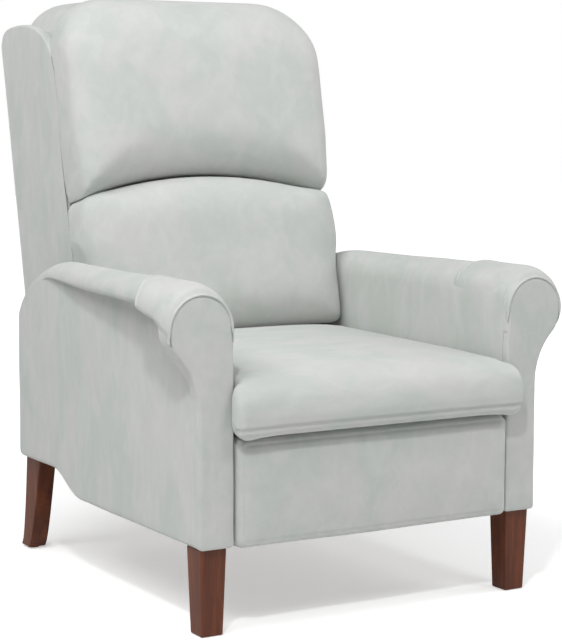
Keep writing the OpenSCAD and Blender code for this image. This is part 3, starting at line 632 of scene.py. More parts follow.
def normals(piece: Piece) -> Array:
    """A piece's vertex normals."""
    flat = np.empty(len(piece.data.vertices) * 3, dtype=np.float32)
    piece.data.vertex_normals.foreach_get("vector", flat)
    return flat.reshape(-1, 3).astype(float)


def move(piece: Piece, points: Array) -> None:
    """Gives a piece's vertices new places."""
    piece.data.vertices.foreach_set("co", np.ascontiguousarray(points, dtype=np.float32).ravel())
    piece.data.update()


def bake_modifiers(piece: Piece) -> None:
    """Turns what a piece's modifiers give into its plain mesh."""
    graph = bpy.context.evaluated_depsgraph_get()
    graph.update()
    data = bpy.data.meshes.new_from_object(piece.evaluated_get(graph))
    data.name = piece.name
    old = piece.data
    piece.modifiers.clear()
    piece.data = data
    bpy.data.meshes.remove(old)


def subdivide(piece: Piece) -> None:
    """Adds one level of subdivision and keeps the mesh that all modifiers give."""
    mod = piece.modifiers.new("Fullness", "SUBSURF")
    mod.levels = mod.render_levels = 1
    bake_modifiers(piece)


def ripple(piece: Piece, depth: float, scale: float, seed: float = 0.0) -> None:
    """Moves a surface in and out by a soft noise, as hand-laid padding is.

    Args:
        piece: The piece to change.
        depth: Most movement in millimetres.
        scale: Waves per metre.
        seed: Where the noise is read.
    """
    points, ways = coordinates(piece), normals(piece)
    shift = Vector((seed, seed * 0.7, -seed))
    amounts = np.array([noise.noise(Vector(p) * scale + shift) for p in points])
    move(piece, points + ways * (amounts * depth * MM)[:, None])


def on_surface(piece: Piece, path: Array, lift: float = 0.0) -> Array:
    """Lays a path on a piece's surface.

    Args:
        piece: The piece.
        path: Places in metres near its surface.
        lift: Distance above the surface in millimetres.

    Returns:
        The places on the surface.
    """
    data = piece.data
    tree = BVHTree.FromPolygons([v.co for v in data.vertices], [tuple(p.vertices) for p in data.polygons])
    out = []
    for p in path:
        spot, way, _, _ = tree.find_nearest(Vector(p))
        out.append(spot + way * (lift * MM))
    return np.array([tuple(p) for p in out])


def sew(piece: Piece, path: Array, depth: float, width: float, swell: float = 0.0) -> None:
    """Draws a surface in along a seam and lets it swell beside it.

    Args:
        piece: The piece.
        path: The seam, as places in metres on or near the surface.
        depth: How deep the seam lies, in millimetres.
        width: How far its dent reaches, in millimetres.
        swell: How far the cloth rises beside it, in millimetres.
    """
    line = even(path, 0.0015, closed=False)
    tree = KDTree(len(line))
    for i, p in enumerate(line):
        tree.insert(Vector(p), i)
    tree.balance()
    points, ways = coordinates(piece), normals(piece)
    reach = width * 3.2 * MM
    low, high = line.min(axis=0) - reach, line.max(axis=0) + reach
    near = np.flatnonzero(((points > low) & (points < high)).all(axis=1))
    for i in near:
        gap = tree.find(Vector(points[i]))[2] / MM
        if gap < width * 3.2:
            dent = depth * math.exp(-(gap / width) ** 2)
            rise = swell * math.exp(-((gap - width * 1.9) / (width * 0.8)) ** 2)
            points[i] += ways[i] * ((rise - dent) * MM)
    move(piece, points)


@dataclass(frozen=True)
class Padding:
    """How a padded piece is stuffed: a cloth skin under pressure, held at its seams."""

    voxel: float = 6.0
    pressure: float = 4.0
    most: float = 24.0
    share: float = 0.6
    frames: int = 20
    relax: int = 3
    passes: int = 90

    def fill(self, piece: Piece, held: Callable[[Array], Array], keep: Callable[[Array], Array]) -> None:
        """Remeshes a piece, swells it as cloth and keeps it off its neighbours.

        Args:
            piece: The piece, slightly smaller than it will be.
            held: Gives how firmly each place is held, from 0 to 1.
            keep: Moves places back into the room that the piece has.
        """
        remesh = piece.modifiers.new("Skin", "REMESH")
        remesh.mode = "VOXEL"
        remesh.voxel_size = self.voxel * MM
        remesh.use_smooth_shade = True
        even_out = piece.modifiers.new("Even", "SMOOTH")
        even_out.factor = 0.5
        even_out.iterations = 6
        bake_modifiers(piece)
        start = coordinates(piece)
        swollen = self.swell(piece, start, held(start))
        moved = self.calm(piece, (swollen - start) * self.share)
        length = np.linalg.norm(moved, axis=1)
        limit = self.most * MM
        moved *= (limit * np.tanh(length / limit) / np.maximum(length, 1e-12))[:, None]
        move(piece, start + moved)
        relax = piece.modifiers.new("Relax", "SMOOTH")
        relax.factor = 0.5
        relax.iterations = self.relax
        subdivide(piece)
        move(piece, keep(coordinates(piece)))

    def calm(self, piece: Piece, moved: Array) -> Array:
        """Evens a movement out over each vertex's neighbours, as foam does under cloth.

        Args:
            piece: The remeshed piece.
            moved: How far each vertex moved.

        Returns:
            The evened movement.
        """
        pairs = np.empty(len(piece.data.edges) * 2, dtype=np.int32)
        piece.data.edges.foreach_get("vertices", pairs)
        a, b = np.concatenate([pairs[0::2], pairs[1::2]]), np.concatenate([pairs[1::2], pairs[0::2]])
        count = np.maximum(1, np.bincount(a, minlength=len(moved)))
        for _ in range(self.passes):
            near = np.column_stack([np.bincount(a, moved[b, k], len(moved)) for k in range(3)])
            moved = (moved + near / count[:, None]) / 2
        return moved

    def swell(self, piece: Piece, start: Array, weights: Array) -> Array:
        """Runs the cloth simulation and gives the swollen places.

        Args:
            piece: The remeshed piece.
            start: Its places before.
            weights: How firmly each is held.

        Returns:
            The places at the last frame.
        """
        scene = bpy.context.scene
        group = piece.vertex_groups.new(name="held")
        for level in range(1, 11):
            chosen = np.flatnonzero(np.round(weights * 10) == level)
            if len(chosen):
                group.add([int(i) for i in chosen], level / 10, "REPLACE")
        mod = piece.modifiers.new("Cloth", "CLOTH")
        cloth = mod.settings
        cloth.quality = 4
        cloth.mass = 0.3
        cloth.tension_stiffness = cloth.compression_stiffness = 12
        cloth.shear_stiffness = 6
        cloth.bending_stiffness = 1.2
        cloth.use_pressure = True
        cloth.uniform_pressure_force = self.pressure
        cloth.effector_weights.gravity = 0
        cloth.vertex_group_mass = "held"
        mod.collision_settings.use_collision = False
        mod.point_cache.frame_start, mod.point_cache.frame_end = 1, self.frames
        for number in range(1, self.frames + 1):
            scene.frame_set(number)
        graph = bpy.context.evaluated_depsgraph_get()
        shape = piece.evaluated_get(graph)
        flat = np.empty(len(start) * 3)
        shape.data.vertices.foreach_get("co", flat)
        piece.modifiers.clear()
        piece.vertex_groups.clear()
        scene.frame_set(1)
        result = flat.reshape(-1, 3)
        return np.where(np.isfinite(result), result, start)


# Repeats


class Repeat:
    """A node tree that lays a welt or stitches along a path."""

    def __init__(self, name: str) -> None:
        """Starts the tree with its path, size and material inputs."""
        self.tree = bpy.data.node_groups.new(name, "GeometryNodeTree")
        face = self.tree.interface
        face.new_socket("Path", in_out="INPUT", socket_type="NodeSocketGeometry")
        self.size = face.new_socket("Size", in_out="INPUT", socket_type="NodeSocketFloat")
        self.pitch = face.new_socket("Pitch", in_out="INPUT", socket_type="NodeSocketFloat")
        self.finish = face.new_socket("Finish", in_out="INPUT", socket_type="NodeSocketMaterial")
        face.new_socket("Piece", in_out="OUTPUT", socket_type="NodeSocketGeometry")
        self.inputs = self.add("NodeGroupInput")
        self.curve = self.add("GeometryNodeMeshToCurve")
        self.link(self.inputs.outputs["Path"], self.curve.inputs["Mesh"])

    def add(self, kind: str, **values: object) -> bpy.types.Node:
        """Adds a node and sets its inputs, named with underscores for spaces."""
        node = self.tree.nodes.new(kind)
        for name, value in values.items():
            node.inputs[name.replace("_", " ")].default_value = value
        return node

    def link(self, source: Socket, target: Socket) -> None:
        """Links two sockets."""
        self.tree.links.new(source, target)

    def end(self, geometry: Socket) -> None:
        """Ends the tree in realized instances with the material set."""
        real = self.add("GeometryNodeRealizeInstances")
        dressed = self.add("GeometryNodeSetMaterial")
        shade = self.add("GeometryNodeSetShadeSmooth")
        out = self.add("NodeGroupOutput")
        self.link(geometry, real.inputs["Geometry"])
        self.link(real.outputs["Geometry"], shade.inputs["Geometry"])
        self.link(shade.outputs["Geometry"], dressed.inputs["Geometry"])
        self.link(self.inputs.outputs["Finish"], dressed.inputs["Material"])
        self.link(dressed.outputs["Geometry"], out.inputs["Piece"])

    def along(self) -> bpy.types.Node:
        """Points on the path at the pitch, with their turns."""
        points = self.add("GeometryNodeCurveToPoints")
        points.mode = "LENGTH"
        self.link(self.curve.outputs["Curve"], points.inputs["Curve"])
        self.link(self.inputs.outputs["Pitch"], points.inputs["Length"])
        return points

    def lay(self, name: str, paths: Iterable[Array], size: float, pitch: float,
            finish: bpy.types.Material) -> Piece:
        """Lays the repeat along paths and gives a plain mesh piece.

        Args:
            name: The piece's name.
            paths: Polylines of places in metres.
            size: The size input in millimetres.
            pitch: The pitch input in millimetres.
            finish: The material.

        Returns:
            The piece.
        """
        points: list[tuple[float, ...]] = []
        edges: list[tuple[int, int]] = []
        for path in paths:
            first = len(points)
            points += [tuple(p) for p in path]
            edges += [(i, i + 1) for i in range(first, len(points) - 1)]
        data = bpy.data.meshes.new(name)
        data.from_pydata(points, edges, [])
        piece = bpy.data.objects.new(name, data)
        bpy.context.scene.collection.objects.link(piece)
        mod = piece.modifiers.new("Repeat", "NODES")
        mod.node_group = self.tree
        mod[self.size.identifier] = size * MM
        mod[self.pitch.identifier] = pitch * MM
        mod[self.finish.identifier] = finish
        bake_modifiers(piece)
        return piece


class Welt(Repeat):
    """A cord along a path: a sewn-in welt, and the dark cords that paint the shade in the wing grooves."""

    def __init__(self) -> None:
        """Builds a tube of the asked radius along the path."""
        super().__init__("welt_and_shade_cord")
        even_out = self.add("GeometryNodeResampleCurve")
        even_out.mode = "LENGTH"
        ring = self.add("GeometryNodeCurvePrimitiveCircle", Resolution=10)
        tube = self.add("GeometryNodeCurveToMesh")
        tube.inputs["Fill Caps"].default_value = True
        self.link(self.curve.outputs["Curve"], even_out.inputs["Curve"])
        self.link(self.inputs.outputs["Pitch"], even_out.inputs["Length"])
        self.link(self.inputs.outputs["Size"], ring.inputs["Radius"])
        self.link(even_out.outputs["Curve"], tube.inputs["Curve"])
        self.link(ring.outputs["Curve"], tube.inputs["Profile Curve"])
        self.end(tube.outputs["Mesh"])


class Stitches(Repeat):
    """A row of short stitches along a seam."""

    def __init__(self) -> None:
        """Builds small plump stitches at the pitch, turned along the path."""
        super().__init__("stitches_along_seam")
        bead = self.add("GeometryNodeMeshUVSphere", Segments=6, Rings=4, Radius=1.0)
        laid = self.add("GeometryNodeInstanceOnPoints")
        size = self.add("ShaderNodeCombineXYZ")
        longer = self.add("ShaderNodeMath")
        longer.operation = "MULTIPLY"
        longer.inputs[1].default_value = 3.4
        vary = self.add("FunctionNodeRandomValue")
        vary.data_type = "FLOAT"
        vary.inputs[2].default_value = 0.85
        vary.inputs[3].default_value = 1.1
        vary.inputs["Seed"].default_value = 7
        grown = self.add("ShaderNodeVectorMath")
        grown.operation = "SCALE"
        points = self.along()
        self.link(self.inputs.outputs["Size"], longer.inputs[0])
        self.link(self.inputs.outputs["Size"], size.inputs["X"])
        self.link(self.inputs.outputs["Size"], size.inputs["Y"])
        self.link(longer.outputs[0], size.inputs["Z"])
        self.link(size.outputs["Vector"], grown.inputs[0])
        self.link(vary.outputs[1], grown.inputs["Scale"])
        self.link(points.outputs["Points"], laid.inputs["Points"])
        self.link(points.outputs["Rotation"], laid.inputs["Rotation"])
        self.link(bead.outputs["Mesh"], laid.inputs["Instance"])
        self.link(grown.outputs["Vector"], laid.inputs["Scale"])
        self.end(laid.outputs["Instances"])


@dataclass
class Workshop:
    """The finishes and the repeats that every sub-assembly shares."""

    finishes: Finishes = field(default_factory=Finishes)
    welt: Welt = field(default_factory=Welt)
    stitches: Stitches = field(default_factory=Stitches)

    def hand_over(self, piece: Piece, body: Body, nodes: Sequence[str] = (), slot: str = "upholstery",
                  fill: Optional[float] = None) -> Piece:
        """Puts a finished piece on its body, hides the CAD nodes that it replaces and logs it.

        Args:
            piece: The finished piece.
            body: The body that carries it.
            nodes: CAD nodes that it replaces.
            slot: Not used.
            fill: Not used.

        Returns:
            The piece.
        """
        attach(piece, body.value)
        if nodes:
            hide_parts(*nodes)
        LOG.info("%s: %d faces on %s", piece.name, len(piece.data.polygons), body.value)
        return piece


# Arms


@dataclass
class Arm:
    """A rolled arm: covered side, padded front sleeve and keyhole facing."""

    shop: Workshop
    side: Side
    inner: float = 268.0
    outer: float = 330.3
    clear: float = 144.0
    top: float = 563.0
    level_run: float = 455.0
    sweep_run: float = 118.0
    sweep_rise: float = 40.0
    front_top: float = 566.0
    top_run: float = 516.0
    round_h: float = 133.0
    depth: float = 731.0
    heel: float = 22.0
    heel_rise: float = 12.0
    roll_run: float = 604.0
    roll_reach: float = 46.0
    roll_curl: float = 10.0
    rear_edge: float = 15.0
    front_edge: float = 2.4
    low_edge: float = 9.0
    scroll: tuple[float, float, float] = (325.5, 494.0, 57.5)
    scroll_cord: float = 3.8
    neck_z: float = 368.0
    neck_top: float = 455.0
    cap_outer: float = 114.0
    cap_ridge: float = 166.0
    cap_over_cover: float = 66.0
    cap_lip: float = 519.0
    cap_over: float = 58.2
    cap_wall: float = 5.0
    cap_columns: int = 34
    cap_lap: tuple[tuple[float, float], ...] = ((5.4, 3.6), (4.5, 1.4), (3.3, -0.2), (2.1, -0.7), (1.0, -0.3),
                                                (0.3, 1.2), (0.0, 3.6))

    def low(self, y: float) -> float:
        """Height of the underside at a distance from the front."""
        rise = self.sweep_rise * smooth_cos((y - self.level_run) / self.sweep_run)
        return self.clear + rise + self.heel_rise * drawn_in((y - (self.depth - self.heel)) / self.heel)

    def high(self, y: float) -> float:
        """Height of the ridge at a distance from the front."""
        if y <= self.top_run:
            return blend(self.front_top, self.top, smooth(y / self.top_run))
        share = min(1.0, (y - self.top_run) / (self.depth - self.top_run))
        return self.top - self.round_h + self.round_h * math.sqrt(max(0.0, 1 - share * share))

    def overhang(self, y: float) -> float:
        """Reach of the roll past the outer side, behind the sleeve."""
        share = min(1.0, max(0.0, (self.roll_run - y) / (self.roll_run - self.cap_outer)))
        return self.roll_reach * share ** 0.88

    def lip(self, y: float) -> float:
        """Height at which the roll curls under."""
        return min(536.0, self.high(y) - 24.0)

    def section(self, y: float) -> Array:
        """A closed section of the covered arm at one place along it.

        Args:
            y: Distance from the front plane.

        Returns:
            Rows of x, z.
        """
        zb, zt, lip, over = self.low(y), self.high(y), self.lip(y), self.overhang(y)
        if y < self.cap_over_cover:
            cx, cz, r = self.scroll
            under = blend(7.0, 4.5, smooth((y - 26) / 24))
            zt = min(zt, blend(cz + r, zt + 2.2, self.nose(y)) - under)
            over = min(over, blend(cx + r - self.outer, self.cap_over, self.nose(y)) - under)
        draw = self.rear_edge * drawn_in((y - (self.depth - self.rear_edge)) / self.rear_edge)
        draw += self.front_edge * drawn_in((18.5 - y) / 3.0)
        xi, xo, roll = self.inner + draw, self.outer - draw, self.outer + over - draw
        zb, zt = zb + draw, zt - draw * 0.4
        corner = self.low_edge
        curl = min(self.roll_curl, over * 0.45)
        under = lip - curl * 0.75
        mid, rx = (xi + roll) / 2, (roll - xi) / 2
        shoulder = min(lip, blend(lip, self.cap_lip - 4.0, smooth((self.depth - 60 - y) / 160)))
        pts = run((xi, zb + corner), (xi, shoulder), 16)
        sunk = 2.6 * smooth((self.cap_ridge - 6 - y) / 5)
        for x, z in arc(mid, 0.0, rx, 1.0, 180, 0, 34):
            if x < mid:
                turned = smooth((mid - x) / rx * 2.2) * sunk * z
                pts.append((x + turned, shoulder + (zt - shoulder) * z - turned * 0.6))
            else:
                pts.append((x, lip + max(4.0, zt - lip) * z))
        pts += arc(roll - curl, lip, curl, curl, 0, -90, 6)
        pts += run((roll - curl, lip - curl), (xo, under), 6)
        pts += run((xo, under), (xo, zb + corner), 20)
        pts += arc(xo - corner, zb + corner, corner, corner, 0, -90, 4)
        pts += run((xo - corner, zb), (xi + corner, zb), 5)
        pts += arc(xi + corner, zb + corner, corner, corner, 270, 180, 4)
        return np.array(pts)

    def stations(self) -> list[float]:
        """Places along the arm where it gets a section."""
        start = [15.5, 16.2, 17.4, 18.6, 24.0]
        level = [float(y) for y in np.linspace(36, self.top_run, 44)]
        run_down = self.depth - self.top_run
        turn = [self.top_run + run_down * math.sin(math.radians(a)) for a in range(5, 76, 5)]
        edge = self.rear_edge
        end = [self.depth - edge + edge * math.sin(math.radians(a)) for a in range(0, 91, 15)]
        return start + level + [y for y in turn if y < self.depth - edge - 2] + end

    def cover(self) -> Piece:
        """The covered arm: side panel, roll, rear edge and underside."""
        rings = []
        for y in self.stations():
            flat = self.section(y)
            rings.append(np.column_stack([flat[:, 0], np.full(len(flat), y), flat[:, 1]]))
        out = []
        for ring, shares in ((rings[0], (0.0, 0.5)), (rings[-1], (0.55, 0.0))):
            flat = ring[:, [0, 2]]
            low, high = flat[:, 1].min() + 40, flat[:, 1].max() - 40
            q = spine_point(flat, np.array([298.0, low]), np.array([298.0, high]))
            closing = []
            for share in shares:
                p = q + (flat - q) * share
                closing.append(np.column_stack([p[:, 0], ring[:, 1], p[:, 1]]))
            out.append(closing)
        rings = np.array(out[0] + rings + out[1])
        piece = self.make("arm_cover", rings, self.shop.finishes.side)
        subdivide(piece)
        ripple(piece, 0.9, 9.0, 3.0 * self.side.value)
        return piece

    def make(self, name: str, rings: Array, finish: bpy.types.Material, close: bool = True) -> Piece:
        """Skins rings of the right arm, mirrored to this side."""
        rings = rings.copy()
        rings[..., 0] *= self.side.value
        points, faces = skin(to_row(rings), close)
        return mesh_piece(f"{name}_{self.side.word}_cloth", points, faces, finish)

    def nose(self, y: float) -> float:
        """How much of the sleeve's full roundness is reached behind the facing."""
        left = max(0.0, 1 - (y - 3.6) / 42.0)
        return max(0.0, 1 - left ** 2.2) ** (1 / 2.2) if y > 3.6 else 0.0

    def cap_rear(self, turn: float) -> float:
        """How far back the sleeve reaches, by the turn round the roll in degrees."""
        share = math.sin(math.radians(min(max(turn, 0.0), 90.0)))
        return blend(self.cap_outer, self.cap_ridge, share ** 3.2)

    def cap(self) -> Piece:
        """The padded sleeve over the front of the roll."""
        grid = []
        turns = [204 - 4.8 * i for i in range(43)]
        for column in range(self.cap_columns + 1):
            along = column / self.cap_columns
            row = [self.cap_point(along, turn, 0.0) for turn in turns]
            row += [self.cap_point(along, turns[-1], under) for under in (0.12, 0.3, 0.5, 0.7, 0.9, 1.0)]
            grid.append(row)
        piece = self.make("arm_cap", np.array(grid), self.shop.finishes.panel, close=False)
        self.face_out(piece)
        wall = piece.modifiers.new("Wall", "SOLIDIFY")
        wall.thickness = self.cap_wall * MM
        wall.offset = -1.0
        wall.use_even_offset = False
        subdivide(piece)
        ripple(piece, 0.7, 16.0, 5.0 * self.side.value)
        return piece

    def face_out(self, piece: Piece) -> None:
        """Turns an open sheet's faces away from the roll's middle."""
        middle = Vector(to_row(np.array([self.side.value * self.scroll[0], 60.0, self.scroll[1]])))
        inwards = sum(1 for f in piece.data.polygons if (f.center - middle).dot(f.normal) < 0)
        if inwards * 2 > len(piece.data.polygons):
            piece.data.flip_normals()

    def cap_point(self, along: float, turn: float, under: float) -> tuple[float, float, float]:
        """A place on the sleeve.

        Args:
            along: Share of the way from its front to its rear seam.
            turn: Turn round the roll in degrees, 180 inside and 0 outside.
            under: Share of the way along its underside to the side panel.

        Returns:
            The place in millimetres.
        """
        rear = self.cap_rear(turn)
        step, last = round(along * self.cap_columns), len(self.cap_lap) - 1
        front = self.cap_lap[last][1]
        if step > last:
            inset, y = 0.0, front + (rear - front) * ((step - last) / (self.cap_columns - last)) ** 1.25
        else:
            laid = (1 - smooth((turn - 176) / 18)) * (1 - smooth(under * 1.6))
            inset, y = self.cap_lap[step][0] * laid, blend(front, self.cap_lap[step][1], laid)
        cx, cz, r = self.scroll
        back = smooth((y - 4) / 60)
        nose = self.nose(y)
        lip = blend(cz, self.cap_lip, back) + 8.0 * smooth((y - 62) / 50)
        roll = blend(cx + r - inset, self.outer + self.cap_over, nose)
        zt = blend(cz + r - inset, self.high(y) + 2.2, nose)
        tuck = 3.6 * drawn_in(1 - (rear - y) / 9.0)
        inside = smooth((turn - 105) / 45)
        xi = self.inner - 0.3 + inset + 1.0 * smooth((turn - 150) / 30) * nose + inside * 0.3
        tuck *= 1 - 0.75 * inside
        mid, rx = (xi + roll) / 2, (roll - xi) / 2
        a = math.radians(min(turn, 180.0))
        x, z = mid + (rx - tuck) * math.cos(a), lip + (zt - lip - tuck) * math.sin(a)
        if turn > 180:
            x, z = xi + tuck, lip - (turn - 180) * (lip - self.neck_top) / 24
        if under > 0:
            curl = self.roll_curl
            bend = min(1.0, under / 0.3) * math.pi / 2
            inward = smooth((under - 0.3) / 0.7)
            x, z = roll - tuck - curl * (1 - math.cos(bend)), lip - curl * math.sin(bend) + 3.0 * inward
            x = blend(x, self.outer - 1.0, inward)
            down = blend(lip, self.neck_top, under)
            neck = self.neck()[::-1]
            side = float(np.interp(down, [q[1] for q in neck], [q[0] for q in neck]))
            hang = 1 - smooth((y - 26) / 26)
            x, z = blend(x, side - inset + 0.3, hang), blend(z, down, hang)
        return (x, y, z)

    def neck(self) -> Outline:
        """The scroll's outer edge, from its widest place down to the straight side."""
        cx, cz, r = self.scroll
        side = self.outer - cx
        rise = cz - self.neck_z
        bend = (rise * rise + side * side - r * r) / (2 * (r - side))
        end = math.atan2(rise, side + bend)
        pts = [(cx + r * math.cos(a), cz - r * math.sin(a)) for a in np.linspace(0, end, 9)]
        pts += [(cx + side + bend + bend * math.cos(a), self.neck_z + bend * math.sin(a))
                for a in np.linspace(math.pi - end, math.pi, 14)[1:]]
        return pts

    def keyhole(self, step: float = 4.5) -> Array:
        """Outline of the facing: a straight panel that widens into a scroll."""
        cx, cz, r = self.scroll
        small = r - self.scroll_cord
        inner, outer, foot = self.inner, self.outer, self.clear
        low = [(inner, foot + 5), (inner, 300.0), (inner, 420.0)]
        low += [(inner + 1.0, self.neck_top), (inner + 2.4, 478.0)]
        neck = [(x - self.scroll_cord * smooth((z - self.neck_top) / 40.0), z) for x, z in self.neck()]
        pts = low + arc(cx, cz, small, small, 180, 0, 36) + neck
        pts += [(outer, 300.0), (outer, foot + 5), (outer - 1.5, foot + 1.5), (outer - 5, foot)]
        pts += [(inner + 5, foot), (inner + 1.5, foot + 1.5)]
        return even(np.array(pts), step)

    def drum(self) -> Piece:
        """The band that wraps the scroll behind the facing and tapers out down the neck."""
        outer = [(x - 0.4, z) for x, z in self.neck()]
        outer = [(self.scroll[0] + self.scroll[2] - 0.6, 501.0)] + outer + [(self.outer - 0.3, 352.0)]
        line = even(np.array(outer), 4.0, closed=False)
        root = self.outer - 2.0
        front_y = 15.3
        heights, reach = (352, 378, 395, 420, 445, 501), (17.0, 20.0, 29.0, 36.0, 44.0, 46.0)
        rings = []
        for share, deep in ((0.0, 0.0), (0.0, 0.04), (0.0, 0.5), (0.0, 0.82), (0.06, 0.93), (0.2, 0.985),
                            (0.45, 1.0), (1.0, 1.0)):
            ring = []
            for x, z in line:
                rear = float(np.interp(z, heights, reach))
                ring.append((blend(x, root, share), front_y + (rear - front_y) * deep, z))
            for x, y, z in ring[::-1]:
                ring.append((root - 1.0, y, z))
            rings.append(ring)
        front = np.array(rings[0])
        front[:, 0] = root - 0.5
        back = np.array(rings[-1])
        back[:, 0] = root - 0.5
        piece = self.make("arm_band", np.array([front] + rings + [back]), self.shop.finishes.panel)
        subdivide(piece)
        return piece

    def facing(self) -> Piece:
        """The keyhole facing, with its band and softly crowned front."""
        outline = self.keyhole()
        cx = self.scroll[0] - 6
        levels = [(2.0, 0.0, 15.2), (2.0, 0.6, 15.2), (2.0, 1.0, 15.2), (0.3, 1.0, 14.8), (0.0, 1.0, 13.0),
                  (0.0, 1.0, 9.0), (0.0, 1.0, 5.0), (0.4, 1.0, 3.0), (1.4, 1.0, 1.5), (3.4, 1.0, 0.5),
                  (7.0, 1.0, 0.0), (12.0, 1.0, -0.2)]
        levels += [(12.0, share, -0.3 - 0.6 * (1 - share ** 2)) for share in (0.75, 0.5, 0.25, 0.0)]
        rings = pillow(outline, ((cx - 20, self.clear + 34), (cx, self.scroll[1])), levels)
        rings = rings[..., [0, 2, 1]]
        piece = self.make("arm_facing", rings, self.shop.finishes.panel)
        subdivide(piece)
        ripple(piece, 0.5, 14.0, 9.0 * self.side.value)
        return piece

    def cord(self) -> Piece:
        """The cord sewn in where the sleeve ends on the roll."""
        path = [self.cap_point(0.955, turn, 0.0) for turn in range(168, -1, -4)]
        path = to_row(np.array(path) * (self.side.value, 1, 1))
        return self.shop.welt.lay(f"arm_cap_cord_{self.side.word}", [path], 1.9, 4.0, self.shop.finishes.welt)

    def build(self) -> None:
        """Builds and dresses the arm."""
        word, shop = self.side.word, self.shop
        cover, cap, facing, band = self.cover(), self.cap(), self.facing(), self.drum()
        shop.hand_over(cover, Body.BASE, [f"arm_cover_{word}"], fill=0.9)
        shop.hand_over(cap, Body.BASE, [f"arm_cap_{word}"], fill=0.8)
        shop.hand_over(facing, Body.BASE, [f"arm_facing_{word}"], fill=0.8)
        shop.hand_over(band, Body.BASE, fill=0.8)
        shop.hand_over(self.cord(), Body.BASE)


# Legs


@dataclass
class Legs:
    """Tapered front legs and sabre rear legs, with eased edges."""

    shop: Workshop
    ease: float = 2.6
    head: float = 47.6
    foot: float = 39.0
    overlap: float = 2.2

    def stack(self, name: str, rows: Sequence[LegRow]) -> Piece:
        """A leg from rows of x0, x1, y0, y1 and z in millimetres."""
        rings = []
        for x0, x1, y0, y1, z in rows:
            rings.append([(x0, y0, z), (x1, y0, z), (x1, y1, z), (x0, y1, z)])
        points, faces = skin(to_row(np.array(rings)))
        last = (len(rings) - 1) * 4
        faces += [(3, 2, 1, 0), (last, last + 1, last + 2, last + 3)]
        piece = mesh_piece(name, points, faces, self.shop.finishes.slots["mahogany"], flat=True)
        bevel = piece.modifiers.new("Eased", "BEVEL")
        bevel.width = self.ease * MM
        bevel.segments = 3
        bevel.limit_method = "ANGLE"
        bevel.angle_limit = math.radians(40)
        bake_modifiers(piece)
        for face in piece.data.polygons:
            face.use_smooth = True
        edges = piece.modifiers.new("Crisp", "WEIGHTED_NORMAL")
        edges.keep_sharp = True
        bake_modifiers(piece)
        return piece

    def build(self) -> None:
        """Builds the four legs inside their CAD boxes."""
        for side in Side:
            for place, form, rows in (("front", "turned", self.taper), ("rear", "sabre", self.sabre)):
                node = f"{place}_leg_{side.word}"
                leg = self.stack(f"{node}_{form}", rows(*node_box(node)))
                self.shop.hand_over(leg, Body.BASE, [node], "mahogany")

    def taper(self, low: Array, high: Array) -> list[LegRow]:
        """Rows of a front leg that narrows towards its foot, over the top of its glide."""
        rows = []
        for f in (0.0, 0.25, 0.5, 0.75, 1.0):
            inset = (self.head - self.foot) / 2 * (1 - f)
            z = blend(low[2] - self.overlap, high[2], f)
            rows.append((low[0] + inset, high[0] - inset, low[1] + inset, high[1] - inset, z))
        return rows

    def sabre(self, low: Array, high: Array) -> list[LegRow]:
        """Rows of a rear leg that sweeps back towards its foot."""
        foot_front, foot_rear = 724.0, 762.0
        rows = []
        for i in range(15):
            f = i / 14
            rear = foot_rear - 31.0 * f ** 0.54
            front = foot_front - 56.0 * f + (rear - foot_rear + 31.0 * f) * 0.9
            rows.append((low[0], high[0], min(front, rear - 36.0), rear, blend(low[2], high[2], f)))
        return rows


# Seat


